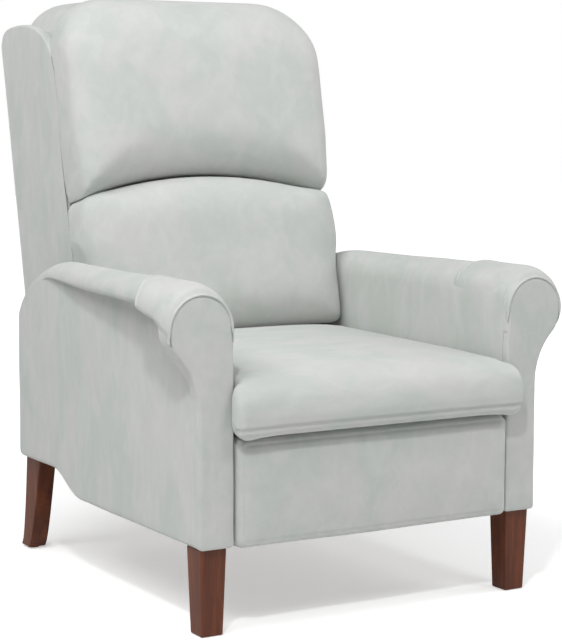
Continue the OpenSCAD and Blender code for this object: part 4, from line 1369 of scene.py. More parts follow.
@dataclass
class SeatCushion:
    """A T-shaped seat cushion that rolls over the front and laps the arms."""

    shop: Workshop
    half: float = 264.5
    ear: float = 280.5
    low: float = 320.6
    front: float = -43.0
    nose: float = 36.0
    nose_corner: float = 9.0
    nose_round: float = 20.0
    between_arms: float = 266.4
    over_facings: float = 282.0
    deck: float = 322.2
    rear: float = 549.5
    rear_top: float = 421.4
    back_low: float = -128.5

    def box(self, y: float, half: float, zb: float, zt: float, r_top: float, r_low: float,
            crown: float) -> Array:
        """A boxy, crowned ring across the cushion."""
        r_top, r_low = min(r_top, (zt - zb) * 0.55), min(r_low, (zt - zb) * 0.4)
        pts = arc(half - r_top, zt - r_top, r_top, r_top, 90, 0, 8)
        pts += run((half, zt - r_top), (half, zb + r_low), 6)
        pts += arc(half - r_low, zb + r_low, r_low, r_low, 0, -90, 6)
        pts += run((half - r_low, zb), (r_low - half, zb), 22)
        pts += arc(r_low - half, zb + r_low, r_low, r_low, 270, 180, 6)
        pts += run((-half, zb + r_low), (-half, zt - r_top), 6)
        pts += arc(r_top - half, zt - r_top, r_top, r_top, 180, 90, 8)
        pts += run((r_top - half, zt), (half - r_top, zt), 22)
        out = np.array([(x, y, z) for x, z in pts])
        high = np.clip((out[:, 2] - zb) / max(1.0, zt - zb), 0, 1) ** 3
        out[:, 2] += crown * high * (1 - (out[:, 0] / half) ** 2)
        return out

    def top(self, y: float) -> float:
        """Height of the cushion's top beside the arms."""
        return float(np.interp(y, [-12, 4, 136, 355, 530], [404.5, 413.0, 417.0, 419.0, 420.0]))

    def droop(self, ring: Array) -> Array:
        """How far the nose's lower corners hang in front of the footrest."""
        corner = np.clip((np.abs(ring[:, 0]) - 200) / 60, 0, 1)
        lower = np.clip((self.low + 30 - ring[:, 2]) / 25, 0, 1)
        forward = np.clip((-15 - ring[:, 1]) / 8, 0, 1)
        return 5.0 * corner * lower * forward

    def shape(self) -> Piece:
        """The cushion before it is stuffed."""
        zb, mid = self.low + 1.0, 357.0
        rings = []
        for f in (0.0, 0.012, 0.05, 0.12, 0.22, 0.35, 0.52, 0.75):
            deep = self.nose * f
            side = self.nose_corner * drawn_in(1 - deep / self.nose_corner)
            up = (1 - (1 - f) ** 2.3) ** (1 / 2.3)
            down = 1 - drawn_in(1 - deep / self.nose_round)
            under = mid - (mid - zb) * max(down, 0.02)
            over = mid + (self.top(-12.0) - mid) * max(up, 0.02)
            ring = self.box(self.front + deep, self.ear - side, under, over, 12.0, 20.0, 3.0 * f)
            ring[:, 2] -= self.droop(ring)
            rings.append(ring)
        for y, half in ((-7.0, self.ear), (-4.0, self.ear - 4), (-2.0, self.half - 1), (8.0, self.half - 1)):
            rings.append(self.box(y, half, zb + 1.5, self.top(y), 12.0, 18.0, 3.0))
        for y in range(40, 500, 50):
            rings.append(self.box(float(y), self.half - 0.5, zb, self.top(y), 12.0, 12.0, 3.0))
        zt = self.top(530)
        for y, tuck in ((505.0, 0.0), (524.0, 1.5), (535.0, 6.0), (542.0, 14.0), (545.5, 26.0)):
            half = self.half - 1 - tuck * 0.5
            rings.append(self.box(y, half, zb + tuck * 0.7, zt - tuck, 12.0, 12.0, 2.0))
        points, faces = skin(to_row(capped(rings)))
        return mesh_piece("seat_cushion_cloth", points, faces, self.shop.finishes.seat)

    def held(self, points: Array) -> Array:
        """Holds the cushion where it rests on its deck."""
        z = points[:, 2] / MM
        return np.clip((self.low + 10 - z) / 6, 0, 1)

    def keep(self, points: Array) -> Array:
        """Keeps the cushion on its deck, between the arms and under the back."""
        out = points.copy()
        y = (out[:, 1] - FRONT) / MM
        width = np.where(y > -0.8, self.between_arms, self.over_facings) * MM
        out[:, 0] = np.clip(out[:, 0], -width, width)
        rest = np.where(y < -20.0, self.low - 6.0, np.where(y < 32.0, self.low + 0.3, self.deck)) * MM
        out[:, 2] = np.maximum(out[:, 2], rest)
        out[:, 1] = np.clip(out[:, 1], FRONT + (self.front - 3.0) * MM, FRONT + self.rear * MM)
        slope = (self.back_low * MM - (y * MM - BACK_Y * MM) * math.sin(LEAN)) / math.cos(LEAN)
        rear = y > 470
        under = np.minimum((BACK_Z * MM + slope)[rear], self.rear_top * MM)
        out[rear, 2] = np.minimum(out[rear, 2], under)
        return out

    def build(self) -> None:
        """Builds, stuffs and sews the cushion."""
        piece = self.shape()
        Padding(voxel=5.5, most=24.0, share=0.4, relax=6).fill(piece, self.held, self.keep)
        seam = self.front_seam(piece)
        sew(piece, seam, 2.2, 3.2, 0.5)
        row = on_surface(piece, seam + [0, 0, 4.5 * MM], 0.1)
        stitches = self.shop.stitches.lay("seat_seam_stitches", [row], 0.3, 3.8, self.shop.finishes.thread)
        self.shop.hand_over(piece, Body.SEAT, ["seat_cushion"], fill=0.7)
        self.shop.hand_over(stitches, Body.SEAT)

    def front_seam(self, piece: Piece) -> Array:
        """The seam where the top panel meets the cushion's underside."""
        xs = np.linspace(-self.ear - 4, self.ear + 4, 180)
        path = np.array([(x, self.front - 6.0, self.low + 13.0) for x in xs])
        ends = np.abs(xs) > self.ear - 10
        path[ends, 1] += (np.abs(xs[ends]) - self.ear + 10) * 1.5
        return on_surface(piece, to_row(path))


# Footrest


@dataclass
class FootrestPad:
    """The padded footrest panel under the seat's front."""

    shop: Workshop
    half: float = 264.3
    low: float = 141.0
    high: float = 318.5
    back_y: float = 16.2
    front_y: float = -11.0
    low_corner: float = 9.0
    up_corner: float = 7.0
    front_corner: float = 26.0

    def outline(self, grow: float = 0.0, step: float = 6.0) -> Array:
        """Outline of the panel at its board."""
        h, low, high = self.half + grow, self.low - grow, self.high + grow
        low_r, up_r = self.low_corner, self.up_corner
        return rounded([(-h, low, low_r), (h, low, low_r), (h, high, up_r), (-h, high, up_r)], step)

    def pad(self) -> Piece:
        """The crowned pad on the front of the board."""
        mid = (self.low + self.high) / 2
        spine = ((-self.half + 88, mid), (self.half - 88, mid))
        levels = [(1.5, 0.0, self.back_y), (1.5, 0.6, self.back_y), (1.5, 1.0, self.back_y),
                  (0.3, 1.0, self.back_y - 0.4), (0.0, 1.0, self.back_y - 2.0), (0.0, 1.0, 6.0)]
        reach = 5.0 - self.front_y
        for turn in (0, 10, 20, 30, 40, 50, 60, 70, 80):
            a = math.radians(turn)
            levels.append((13.0 * (1 - math.cos(a)), 1.0, 5.0 - reach * math.sin(a) * 0.96))
        levels += [(13.0, share, self.front_y - 6.0 * (1 - share ** 1.8)) for share in
                   (0.95, 0.88, 0.8, 0.7, 0.58, 0.45, 0.3, 0.15, 0.0)]
        rings = self.round_corners(pillow(self.outline(), spine, levels)[..., [0, 2, 1]])
        points, faces = skin(to_row(rings))
        piece = mesh_piece("footrest_pad_cloth", points, faces, self.shop.finishes.panel)
        subdivide(piece)
        ripple(piece, 1.6, 7.0, 31.0)
        return piece

    def round_corners(self, rings: Array) -> Array:
        """Rounds the upper corners more and more towards the front."""
        out = rings.copy()
        more = np.clip((10.0 - out[..., 1]) / 16.0, 0, 1)
        radius = self.up_corner + (self.front_corner - self.up_corner) * more
        right = radius - (self.half - np.abs(out[..., 0]))
        up = radius - (self.high - out[..., 2])
        far = np.maximum(1e-6, np.hypot(right, up))
        pull = np.where((right > 0) & (up > 0) & (far > radius), 1 - radius / far, 0.0)
        out[..., 0] -= np.sign(out[..., 0]) * right * pull
        out[..., 2] -= up * pull
        return out

    def wrap(self) -> Piece:
        """The cover's edge, pulled over the sides of the board to its back."""
        wall = 1.9
        rings = []
        for inset, y in ((wall, 16.5), (0.2, 16.5), (0.0, 18.0), (0.0, 26.0), (0.4, 28.3), (1.6, 29.0),
                         (6.0, 29.2), (14.0, 28.9), (14.0, 28.2), (wall, 28.2), (wall, 16.5)):
            flat = self.outline(-inset)
            rings.append(np.column_stack([flat[:, 0], np.full(len(flat), y), flat[:, 1]]))
        count = min(len(ring) for ring in rings)
        fine = [even(ring, 1.0) for ring in rings]
        chosen = [ring[np.linspace(0, len(ring) - 1, count + 1).astype(int)[:-1]] for ring in fine]
        points, faces = skin(to_row(np.array(chosen)))
        return mesh_piece("footrest_wrap_cloth", points, faces, self.shop.finishes.panel)

    def build(self) -> None:
        """Builds the pad, its sewn border and the wrap over the board."""
        piece = self.pad()
        border = self.outline(-9.0, 4.0)
        ahead = np.column_stack([border[:, 0], np.full(len(border), -14.0), border[:, 1]])
        path = on_surface(piece, to_row(ahead))
        sew(piece, np.vstack([path, path[:1]]), 0.9, 2.4, 0.2)
        self.shop.hand_over(piece, Body.FOOTREST, ["footrest_pad"], fill=0.75)
        self.shop.hand_over(self.wrap(), Body.FOOTREST)


# Back


@dataclass
class BackCushions:
    """The head pillow that wraps the top of the back, and the lumbar pillow."""

    shop: Workshop
    crease: float = 167.0
    fall: float = 44.0
    half: float = 264.0
    crease_half: float = 261.0
    crease_gap: float = 1.5
    crease_turn: float = 10.0
    head_shoulder: float = 400.0
    head_flat: float = 154.0
    head_turn: float = 116.5
    lumbar_low: float = -132.0
    lumbar_corner: float = 7.0
    crown_half: float = 223.5
    crown_low: float = 382.0
    top_z: float = 1043.0
    between_wings: float = 226.4
    wing_gap: float = 2.2
    rear: float = 8.6
    fill_front: float = 245.4
    beside_wings: float = 261.6
    between_arms: float = 266.6
    seat_top: float = 422.8
    head_reach: float = 338.0
    lumbar_reach: float = 342.0
    ease: float = 15.0

    def crease_at(self, x: Array) -> Array:
        """Height of the arched crease across the back."""
        return self.crease - self.fall * (x / self.half) ** 2

    def top_at(self, t: float) -> float:
        """Height of the level top, above the datum, by distance in front of it."""
        return (self.top_z - BACK_Z - t * math.sin(LEAN)) / math.cos(LEAN)

    def crown_ring(self, t: float, half: float, top: float, radius: float) -> Array:
        """A ring across the crown: level top with round shoulders and a flat underside."""
        low = self.crown_low
        pts = run((-half, low), (half, low), 40)
        pts += run((half, low), (half, top - radius), 14)
        pts += arc(half - radius, top - radius, radius, radius, 0, 90, 18)
        pts += run((half - radius, top), (radius - half, top), 26)
        pts += arc(radius - half, top - radius, radius, radius, 90, 180, 18)
        pts += run((-half, top - radius), (-half, low), 14)
        return np.array([(x, t, z) for x, z in pts])

    def width_at(self, s: Array) -> Array:
        """Half the width of the pillows, by height."""
        heights = (-100, -75, -20, 8, 34, 66, 97, 123, 125, 175, 224, 290, 360, 400)
        wide = (265, 266, 266.4, 270, 274.5, 273.5, 270, 265.5, 263, 266, 270.5, 271.5, 271.5, 270.5)
        return np.interp(s, heights, wide)

    def head_outline(self, t: float) -> Array:
        """Outline of the head pillow in front of the wings."""
        top, shoulder, flat = self.top_at(t), self.head_shoulder, self.head_flat
        rise, half, gap = top - shoulder, self.crease_half, self.crease_gap
        xs = np.linspace(-half, half, 41)[:-1]
        pts = [(x, float(self.crease_at(x)) + gap - self.crease_turn * (x / half) ** 6) for x in xs]
        heights = np.linspace(float(self.crease_at(half)) + gap, shoulder, 15)[:-1]
        wide = self.width_at(heights)
        pts += list(zip(wide, heights))
        pts += arc(flat, shoulder, self.head_turn, rise, 0, 90, 18)
        pts += run((flat, top), (-flat, top), 26)
        pts += arc(-flat, shoulder, self.head_turn, rise, 90, 180, 18)
        pts += list(zip(-wide[::-1], heights[::-1]))
        return np.array(pts)

    def drawn(self, outline: Array, t: float, middle: float, side: tuple[float, float],
              tall: tuple[float, float], end: float, full: tuple[float, float]) -> Array:
        """Draws an outline in towards its middle on its way to the front.

        Args:
            outline: Rows of x, height.
            t: Distance in front of the outside.
            middle: Height of the middle.
            side: Where the sides start to draw in, and how square they stay.
            tall: The same for the top and the bottom.
            end: Distance at which the ring closes.
            full: How full the corners stay, above and below the middle.

        Returns:
            Rows of x, distance, height.
        """
        shares = []
        for start, power in (side, tall):
            f = min(1.0, max(0.0, (t - start) / (end - start)))
            shares.append(max(0.0, 1 - f * f) ** (1 / power))
        across, up = shares
        height = outline[:, 1] - middle
        square = np.abs(outline[:, 0] / 270) ** 3 * across
        kept = up + (1 - up) * square * np.where(height > 0, full[0], full[1])
        return np.column_stack([outline[:, 0] * across, np.full(len(outline), t), middle + height * kept])

    def head_shape(self) -> Piece:
        """The head pillow before it is stuffed."""
        front, shoulder = 350.4, 95.0
        rings = []
        rounded = ((9.0, 26.0, 78.0), (12.0, 15.0, 86.0), (20.0, 6.0, 92.0), (36.0, 1.0, shoulder))
        level = tuple((t, 0.0, shoulder) for t in (70.0, 120.0, 180.0, 232.0))
        for t, drop, radius in rounded + level:
            rings.append(self.crown_ring(t, self.crown_half - drop * 0.3, self.top_at(t) - drop, radius))
        for t in (238.0, 246.0, 255.0, 264.0, 276.0, 288.0, 298.0, 306.0, 313.0, 319.0, 325.0, 330.5, 335.0,
                  339.0, 342.2, 344.6, 346.6, 348.2, 349.4, 350.1, front):
            outline = self.head_outline(t)
            rings.append(self.drawn(outline, t, 312.0, (316.0, 6.0), (284.0, 2.9), front, (0.0, 0.4)))
        points, faces = skin(to_row(on_back(capped(rings))))
        return mesh_piece("head_cushion_cloth", points, faces, self.shop.finishes.back)

    def lumbar_outline(self) -> Array:
        """Outline of the lumbar pillow, arched at its top."""
        r, low, half, gap = self.lumbar_corner, self.lumbar_low, self.crease_half, self.crease_gap
        heights = np.linspace(low + r, float(self.crease_at(262.0)) - 2, 21)[:-1]
        wide = self.width_at(heights)
        base = float(wide[0])
        xs = np.linspace(half, -half, 47)
        pts = arc(base - r, low + r, r, r, -90, 0, 8) + list(zip(wide, heights))
        pts += [(x, float(self.crease_at(x)) - gap + self.crease_turn * (x / half) ** 6) for x in xs[:-1]]
        pts += list(zip(-wide[::-1], heights[::-1])) + arc(r - base, low + r, r, r, 180, 270, 8)
        pts += run((r - base, low), (base - r, low), 40)
        return np.array(pts)

    def lumbar_shape(self) -> Piece:
        """The lumbar pillow before it is stuffed."""
        outline = self.lumbar_outline()
        front = 354.0
        rings = []
        for t, inset in ((238.0, 2.0), (241.0, 0.0), (249.0, 0.0)):
            ring = np.column_stack([outline[:, 0] * (1 - inset / 262), np.full(len(outline), t),
                                    10 + (outline[:, 1] - 10) * (1 - inset / 130)])
            rings.append(ring)
        for t in (258.0, 270.0, 284.0, 296.0, 304.0, 311.0, 318.0, 325.0, 331.0, 336.5, 341.0, 344.6, 347.5,
                  349.8, 351.4, 352.6, 353.5, front):
            rings.append(self.drawn(outline, t, 16.0, (308.0, 5.0), (296.0, 3.0), front, (0.5, 0.4)))
        points, faces = skin(to_row(on_back(capped(rings))))
        return mesh_piece("lumbar_cushion_cloth", points, faces, self.shop.finishes.back)

    def leaned(self, points: Array) -> Array:
        """Frame places as x, distance in front and height in millimetres on the back."""
        y = (points[:, 1] - FRONT) / MM - BACK_Y
        z = points[:, 2] / MM - BACK_Z
        c, n = math.cos(LEAN), math.sin(LEAN)
        return np.column_stack([points[:, 0] / MM, -y * c + z * n, y * n + z * c])

    def held(self, points: Array) -> Array:
        """Holds the pillows against the padded frame behind them."""
        t = self.leaned(points)[:, 1]
        return np.clip((262.0 - t) / 10.0, 0, 1)

    def boxing(self, ahead: Array) -> Array:
        """Half the width that the pillows' sides have, by distance in front of the wings."""
        return self.beside_wings + 0.55 * np.clip(ahead - 2.0, 0.0, 25.0)

    def crowned(self, t: Array, start: float) -> Array:
        """Eases the pillows' fronts towards their furthest reach."""
        return np.where(t > start, start + self.ease * np.tanh((t - start) / self.ease), t)

    def wing_edge(self, s: Array) -> Array:
        """How far forward the wings' front edges reach, by height."""
        heights, reach = zip(*[(s, t) for t, s in WING_FRONT])
        return np.interp(s, heights, reach)

    def keep_head(self, points: Array) -> Array:
        """Keeps the head pillow between and in front of the wings, above the lumbar."""
        p = self.leaned(points)
        x, t, s = p.T
        edge = self.wing_edge(s)
        between = (t < edge - 4.0) & (s < 500.0)
        wide = np.where(between, self.between_wings, self.boxing(t - edge))
        x = np.clip(x, -wide, wide)
        t = np.where(np.abs(x) > self.between_wings + 0.1, np.maximum(t, edge + self.wing_gap), t)
        line = self.crease_at(x) + 0.3
        s = np.where(t > 236.0, np.maximum(s, line), s)
        t = self.crowned(np.maximum(t, self.rear), self.head_reach)
        return to_row(on_back(np.column_stack([x, t, s])))

    def keep_lumbar(self, points: Array) -> Array:
        """Keeps the lumbar pillow under the crease, between the arms and in front of the wings."""
        p = self.leaned(points)
        x, t, s = p.T
        z = points[:, 2] / MM
        left = np.interp(z, [552.0, 566.0, 606.0], [self.between_arms, 268.0, 276.0])
        right = np.interp(z, [560.0, 578.0], [self.between_arms, 277.0])
        beside = self.boxing(t - self.wing_edge(s))
        x = np.clip(x, -np.minimum(left, beside), np.minimum(right, beside))
        s = np.minimum(s, self.crease_at(x) - 0.3)
        level = (self.seat_top - BACK_Z - t * math.sin(LEAN)) / math.cos(LEAN)
        s = np.maximum(s, np.minimum(-127.0, level))
        back = np.where(np.abs(x) > 226.0, self.wing_edge(s) + self.wing_gap, self.fill_front)
        t = self.crowned(np.maximum(t, back), self.lumbar_reach)
        return to_row(on_back(np.column_stack([x, t, s])))

    def build(self) -> None:
        """Builds, stuffs and sews both pillows, and lays dark cords in the wing grooves as painted shade."""
        shop = self.shop
        head = self.head_shape()
        Padding(voxel=6.0, most=24.0, share=0.35, relax=16).fill(head, self.held, self.keep_head)
        lumbar = self.lumbar_shape()
        Padding(voxel=6.0, most=24.0, share=0.35, relax=16).fill(lumbar, self.held, self.keep_lumbar)
        # Dark cords along the grooves between the pillows and the wings: painted shade, in the dark tone of
        # the sewing finish.
        groove_shade_cords = []
        for sign in (-1, 1):
            path = np.array([(sign * 266.0, 262.0, s) for s in np.linspace(-98.0, 118.0, 90)])
            sew(lumbar, on_surface(lumbar, to_row(on_back(path))), 1.2, 2.6, 0.3)
            s = np.linspace(4.0, 404.0, 140)
            side = np.full(len(s), sign * self.beside_wings)
            groove = np.column_stack([side, self.wing_edge(s) + 1.0, s])
            groove_shade_cords.append(to_row(on_back(groove)))
        shop.hand_over(shop.welt.lay("wing_groove_shade_cord", groove_shade_cords, 1.4, 5.0, shop.finishes.thread), Body.BACK)
        shop.hand_over(head, Body.BACK, ["head_cushion", "crown_roll"], fill=0.7)
        shop.hand_over(lumbar, Body.BACK, ["lumbar_cushion"], fill=0.7)


@dataclass
class BackShell:
    """Wings, outside back and foam round the back frame."""

    shop: Workshop
    half: float = 262.0
    thick: float = 34.5
    low: float = -179.0

    def wing_outline(self) -> Array:
        """Outline of a wing: front edge, rounded top and rear corner, run out behind."""
        top = [(164.0, 478.0), (124.0, 493.0), (84.0, 501.5), (50.0, 505.5), (30.0, 505.5)]
        rear = [(18.0, 503.0), (8.0, 496.0), (0.0, 485.5), (-6.0, 471.0), (-10.0, 450.0)]
        return even(np.array([(-10.0, self.low)] + list(WING_FRONT) + top + rear), 4.0)

    def wing(self, side: Side) -> Piece:
        """A padded wing with rounded edges, cut square where it meets the outside panel."""
        inner, outer = self.half - self.thick, self.half
        levels = [(22.0, 0.0, inner), (22.0, 0.5, inner), (22.0, 1.0, inner)]
        for i in range(1, 7):
            a = math.radians(90 * i / 6)
            levels.append((22.0 * (1 - math.sin(a)), 1.0, inner + 22.0 * (1 - math.cos(a))))
        for i in range(1, 7):
            a = math.radians(90 * i / 6)
            levels.append((5.0 * (1 - math.cos(a)), 1.0, outer - 5.0 * (1 - math.sin(a)) - 0.8))
        levels += [(5.0, s, outer - 0.8 + 0.8 * (1 - s * s)) for s in (0.93, 0.8, 0.6, 0.4, 0.15, 0.0)]
        rings = pillow(self.wing_outline(), ((60.0, -100.0), (150.0, 380.0)), levels)
        rings[..., 0] = np.maximum(rings[..., 0], 8.5)
        flat = np.stack([rings[..., 2] * side.value, rings[..., 0], rings[..., 1]], axis=-1)
        points, faces = skin(to_row(on_back(flat)))
        piece = mesh_piece(f"wing_{side.word}_cloth", points, faces, self.shop.finishes.side)
        subdivide(piece)
        ripple(piece, 0.8, 11.0, 13.0 * side.value)
        return piece

    def panel_outline(self) -> Array:
        """Outline of the outside back, with its hump over the crown."""
        h, top, hump = self.half - 0.3, 494.0, 506.0
        corners = [(-h, self.low, 5), (h, self.low, 5), (h, top, 10), (214.0, top + 3, 10),
                   (196.0, hump, 26), (-196.0, hump, 26), (-214.0, top + 3, 10), (-h, top, 10)]
        return rounded(corners, 8.0)

    def outside(self) -> Piece:
        """The padded outside panel, rounded over the rear corner of the back."""
        levels = [(0.3, 0.0, 8.2), (0.3, 0.5, 8.2), (0.3, 1.0, 8.2), (0.0, 1.0, 7.6), (0.0, 1.0, 5.6)]
        for i in range(1, 6):
            a = math.radians(90 * i / 5)
            levels.append((4.6 * (1 - math.cos(a)), 1.0, 0.8 + 4.6 * (1 - math.sin(a))))
        levels += [(4.6, s, 0.8 - 0.9 * (1 - s * s)) for s in (0.93, 0.8, 0.6, 0.4, 0.2, 0.0)]
        rings = pillow(self.panel_outline(), ((-110.0, 150.0), (110.0, 150.0)), levels)
        t, s = rings[..., 2], rings[..., 1]
        reach = 28.0 - np.clip(t, 0.0, 28.0)
        over = np.sqrt(np.maximum(0.0, 28.0 ** 2 - reach ** 2)) - 28.0
        lift = np.where(np.abs(rings[..., 0]) > 206.0, 502.0, 514.0)
        rings[..., 1] = np.minimum(s, lift + over)
        flat = np.stack([rings[..., 0], rings[..., 2], rings[..., 1]], axis=-1)
        points, faces = skin(to_row(on_back(flat)))
        piece = mesh_piece("outside_back_cloth", points, faces, self.shop.finishes.side)
        subdivide(piece)
        ripple(piece, 0.6, 7.0, 21.0)
        return piece

    def fill(self) -> Piece:
        """The foam that fills the back behind the pillows."""
        half, low, high, corner = 222.0, -125.0, 379.0, 10.0
        corners = [(-half, low, corner), (half, low, corner), (half, high, corner), (-half, high, corner)]
        outline = rounded(corners, 12.0)
        levels = round_levels(61.5, 244.6, 8.0, back=8.0, steps=4)
        rings = pillow(outline, ((0.0, 60.0), (0.0, 190.0)), levels)
        flat = np.stack([rings[..., 0], rings[..., 2], rings[..., 1]], axis=-1)
        points, faces = skin(to_row(on_back(flat)))
        return mesh_piece("back_fill_foam", points, faces, self.shop.finishes.slots["foam_fill"])

    def build(self) -> None:
        """Builds and dresses the shell."""
        for side in Side:
            self.shop.hand_over(self.wing(side), Body.BACK, [f"wing_{side.word}"], fill=0.85)
        self.shop.hand_over(self.outside(), Body.BACK, ["outside_back"], fill=0.9)
        self.shop.hand_over(self.fill(), Body.BACK, ["back_fill"], "foam_fill", 0.95)


# Webbing and rail


@dataclass
class Webbing:
    """Woven straps under the seat and across the back."""

    shop: Workshop
    width: float = 50.0
    thick: float = 1.5
    inset: float = 30.0
    back_low: float = -126.0
    back_high: float = 380.0
    back_half: float = 221.5
    back_t: float = 59.1

    def strap(self, path: Array, across: Array, up: Array) -> tuple[Array, list[tuple[int, ...]]]:
        """A flat strap along a path.

        Args:
            path: Places along its middle in metres.
            across: Unit way across it.
            up: Unit way through it.

        Returns:
            The points and faces.
        """
        w, t = self.width / 2 * MM, self.thick / 2 * MM
        profile = [(-w, -t * 0.4), (-w + 0.001, -t), (0.0, -t), (w - 0.001, -t), (w, -t * 0.4), (w, t * 0.4),
                   (w - 0.001, t), (0.0, t), (-w + 0.001, t), (-w, t * 0.4)]
        rings = np.array([[p + across * a + up * b for a, b in profile] for p in path])
        points, faces = skin(rings)
        m, last = len(profile), (len(path) - 1) * len(profile)
        return points, faces + [tuple(range(m))[::-1], tuple(last + i for i in range(m))]

    def join(self, name: str, straps: Sequence[tuple[Array, list[tuple[int, ...]]]]) -> Piece:
        """Joins straps into one piece."""
        points, faces, first = [], [], 0
        for p, f in straps:
            points.append(p)
            faces += [tuple(i + first for i in face) for face in f]
            first += len(p)
        return mesh_piece(name, np.vstack(points), faces, self.shop.finishes.slots["webbing"])

    def build(self) -> None:
        """Builds the seat's interlaced straps and the back's straps."""
        low, high = (np.array(c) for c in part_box("seat_webbing"))
        mid = (low[2] + high[2]) / 2
        reach = (self.thick / 2 + 0.05) * MM
        edge, end = self.inset * MM, 2.0 * MM
        xs = np.linspace(low[0] + edge, high[0] - edge, 5)
        ys = np.linspace(low[1] + edge, high[1] - edge, 5)
        straps = []
        for i, x in enumerate(xs):
            line = np.linspace(low[1] + end, high[1] - end, 90)
            wave = [self.lift(y, ys, i % 2) for y in line]
            path = np.array([(x, y, mid + reach * w) for y, w in zip(line, wave)])
            straps.append(self.strap(path, np.array([1.0, 0, 0]), np.array([0, 0, 1.0])))
        for i, y in enumerate(ys):
            line = np.linspace(low[0] + end, high[0] - end, 90)
            wave = [-self.lift(x, xs, i % 2) for x in line]
            path = np.array([(x, y, mid + reach * w) for x, w in zip(line, wave)])
            straps.append(self.strap(path, np.array([0, 1.0, 0]), np.array([0, 0, 1.0])))
        seat = self.join("seat_webbing_straps", straps)
        self.shop.hand_over(seat, Body.SEAT, ["seat_webbing"], "webbing")
        back = []
        up = np.array([0.0, -math.cos(LEAN), math.sin(LEAN)])
        across = np.array([0.0, math.sin(LEAN), math.cos(LEAN)])
        for i in range(5):
            s = (self.back_high - self.back_low) / 5 * (i + 0.5) + self.back_low
            row = [(x, self.back_t, s) for x in np.linspace(-self.back_half, self.back_half, 24)]
            back.append(self.strap(to_row(on_back(np.array(row))), across, up))
        piece = self.join("back_webbing_straps", back)
        self.shop.hand_over(piece, Body.BACK, ["back_webbing"], "webbing")

    def lift(self, place: float, crossings: Array, odd: int) -> float:
        """Whether a strap passes over or under the straps that it crosses."""
        pitch = float(crossings[1] - crossings[0])
        turns = (place - float(crossings[0])) / pitch
        over = math.cos(math.pi * (turns + odd))
        return math.copysign(min(1.0, abs(over) * 1.8), over)


@dataclass
class RailCover:
    """The covered rail between the arms at the rear."""

    shop: Workshop
    corner: float = 5.0

    def build(self) -> None:
        """Builds the sleeve with rounded edges."""
        (x0, y0, z0), (x1, y1, z1) = node_box("rear_rail_cover")
        r = self.corner
        outline = rounded([(y0, z0, r), (y1, z0, r), (y1, z1, r), (y0, z1, r)], 3.0)
        rings = []
        for x in np.linspace(x0, x1, 60):
            rings.append(np.column_stack([np.full(len(outline), x), outline]))
        points, faces = skin(to_row(capped(rings)))
        piece = mesh_piece("rear_rail_cloth", points, faces, self.shop.finishes.side)
        self.shop.hand_over(piece, Body.BASE, ["rear_rail_cover"], fill=0.9)


# Hardware and studio


@dataclass
class Hardware:
    """The CAD pieces that keep their own shape and get their finish."""

    shop: Workshop

    def build(self) -> None:
        """Gives every shown CAD node the finish of its slot."""
        record = frame["record"]
        slots = {part["node"]: part["material_slot"] for part in record["subparts"]}
        plain = self.shop.finishes.slots
        for name, node in frame["nodes"].items():
            finish = plain.get(slots.get(name, ""), self.shop.finishes.side)
            if node.material_slots:
                for slot in node.material_slots:
                    slot.material = finish
            else:
                node.data.materials.append(finish)
        LOG.info("finished %d CAD nodes", len(frame["nodes"]))


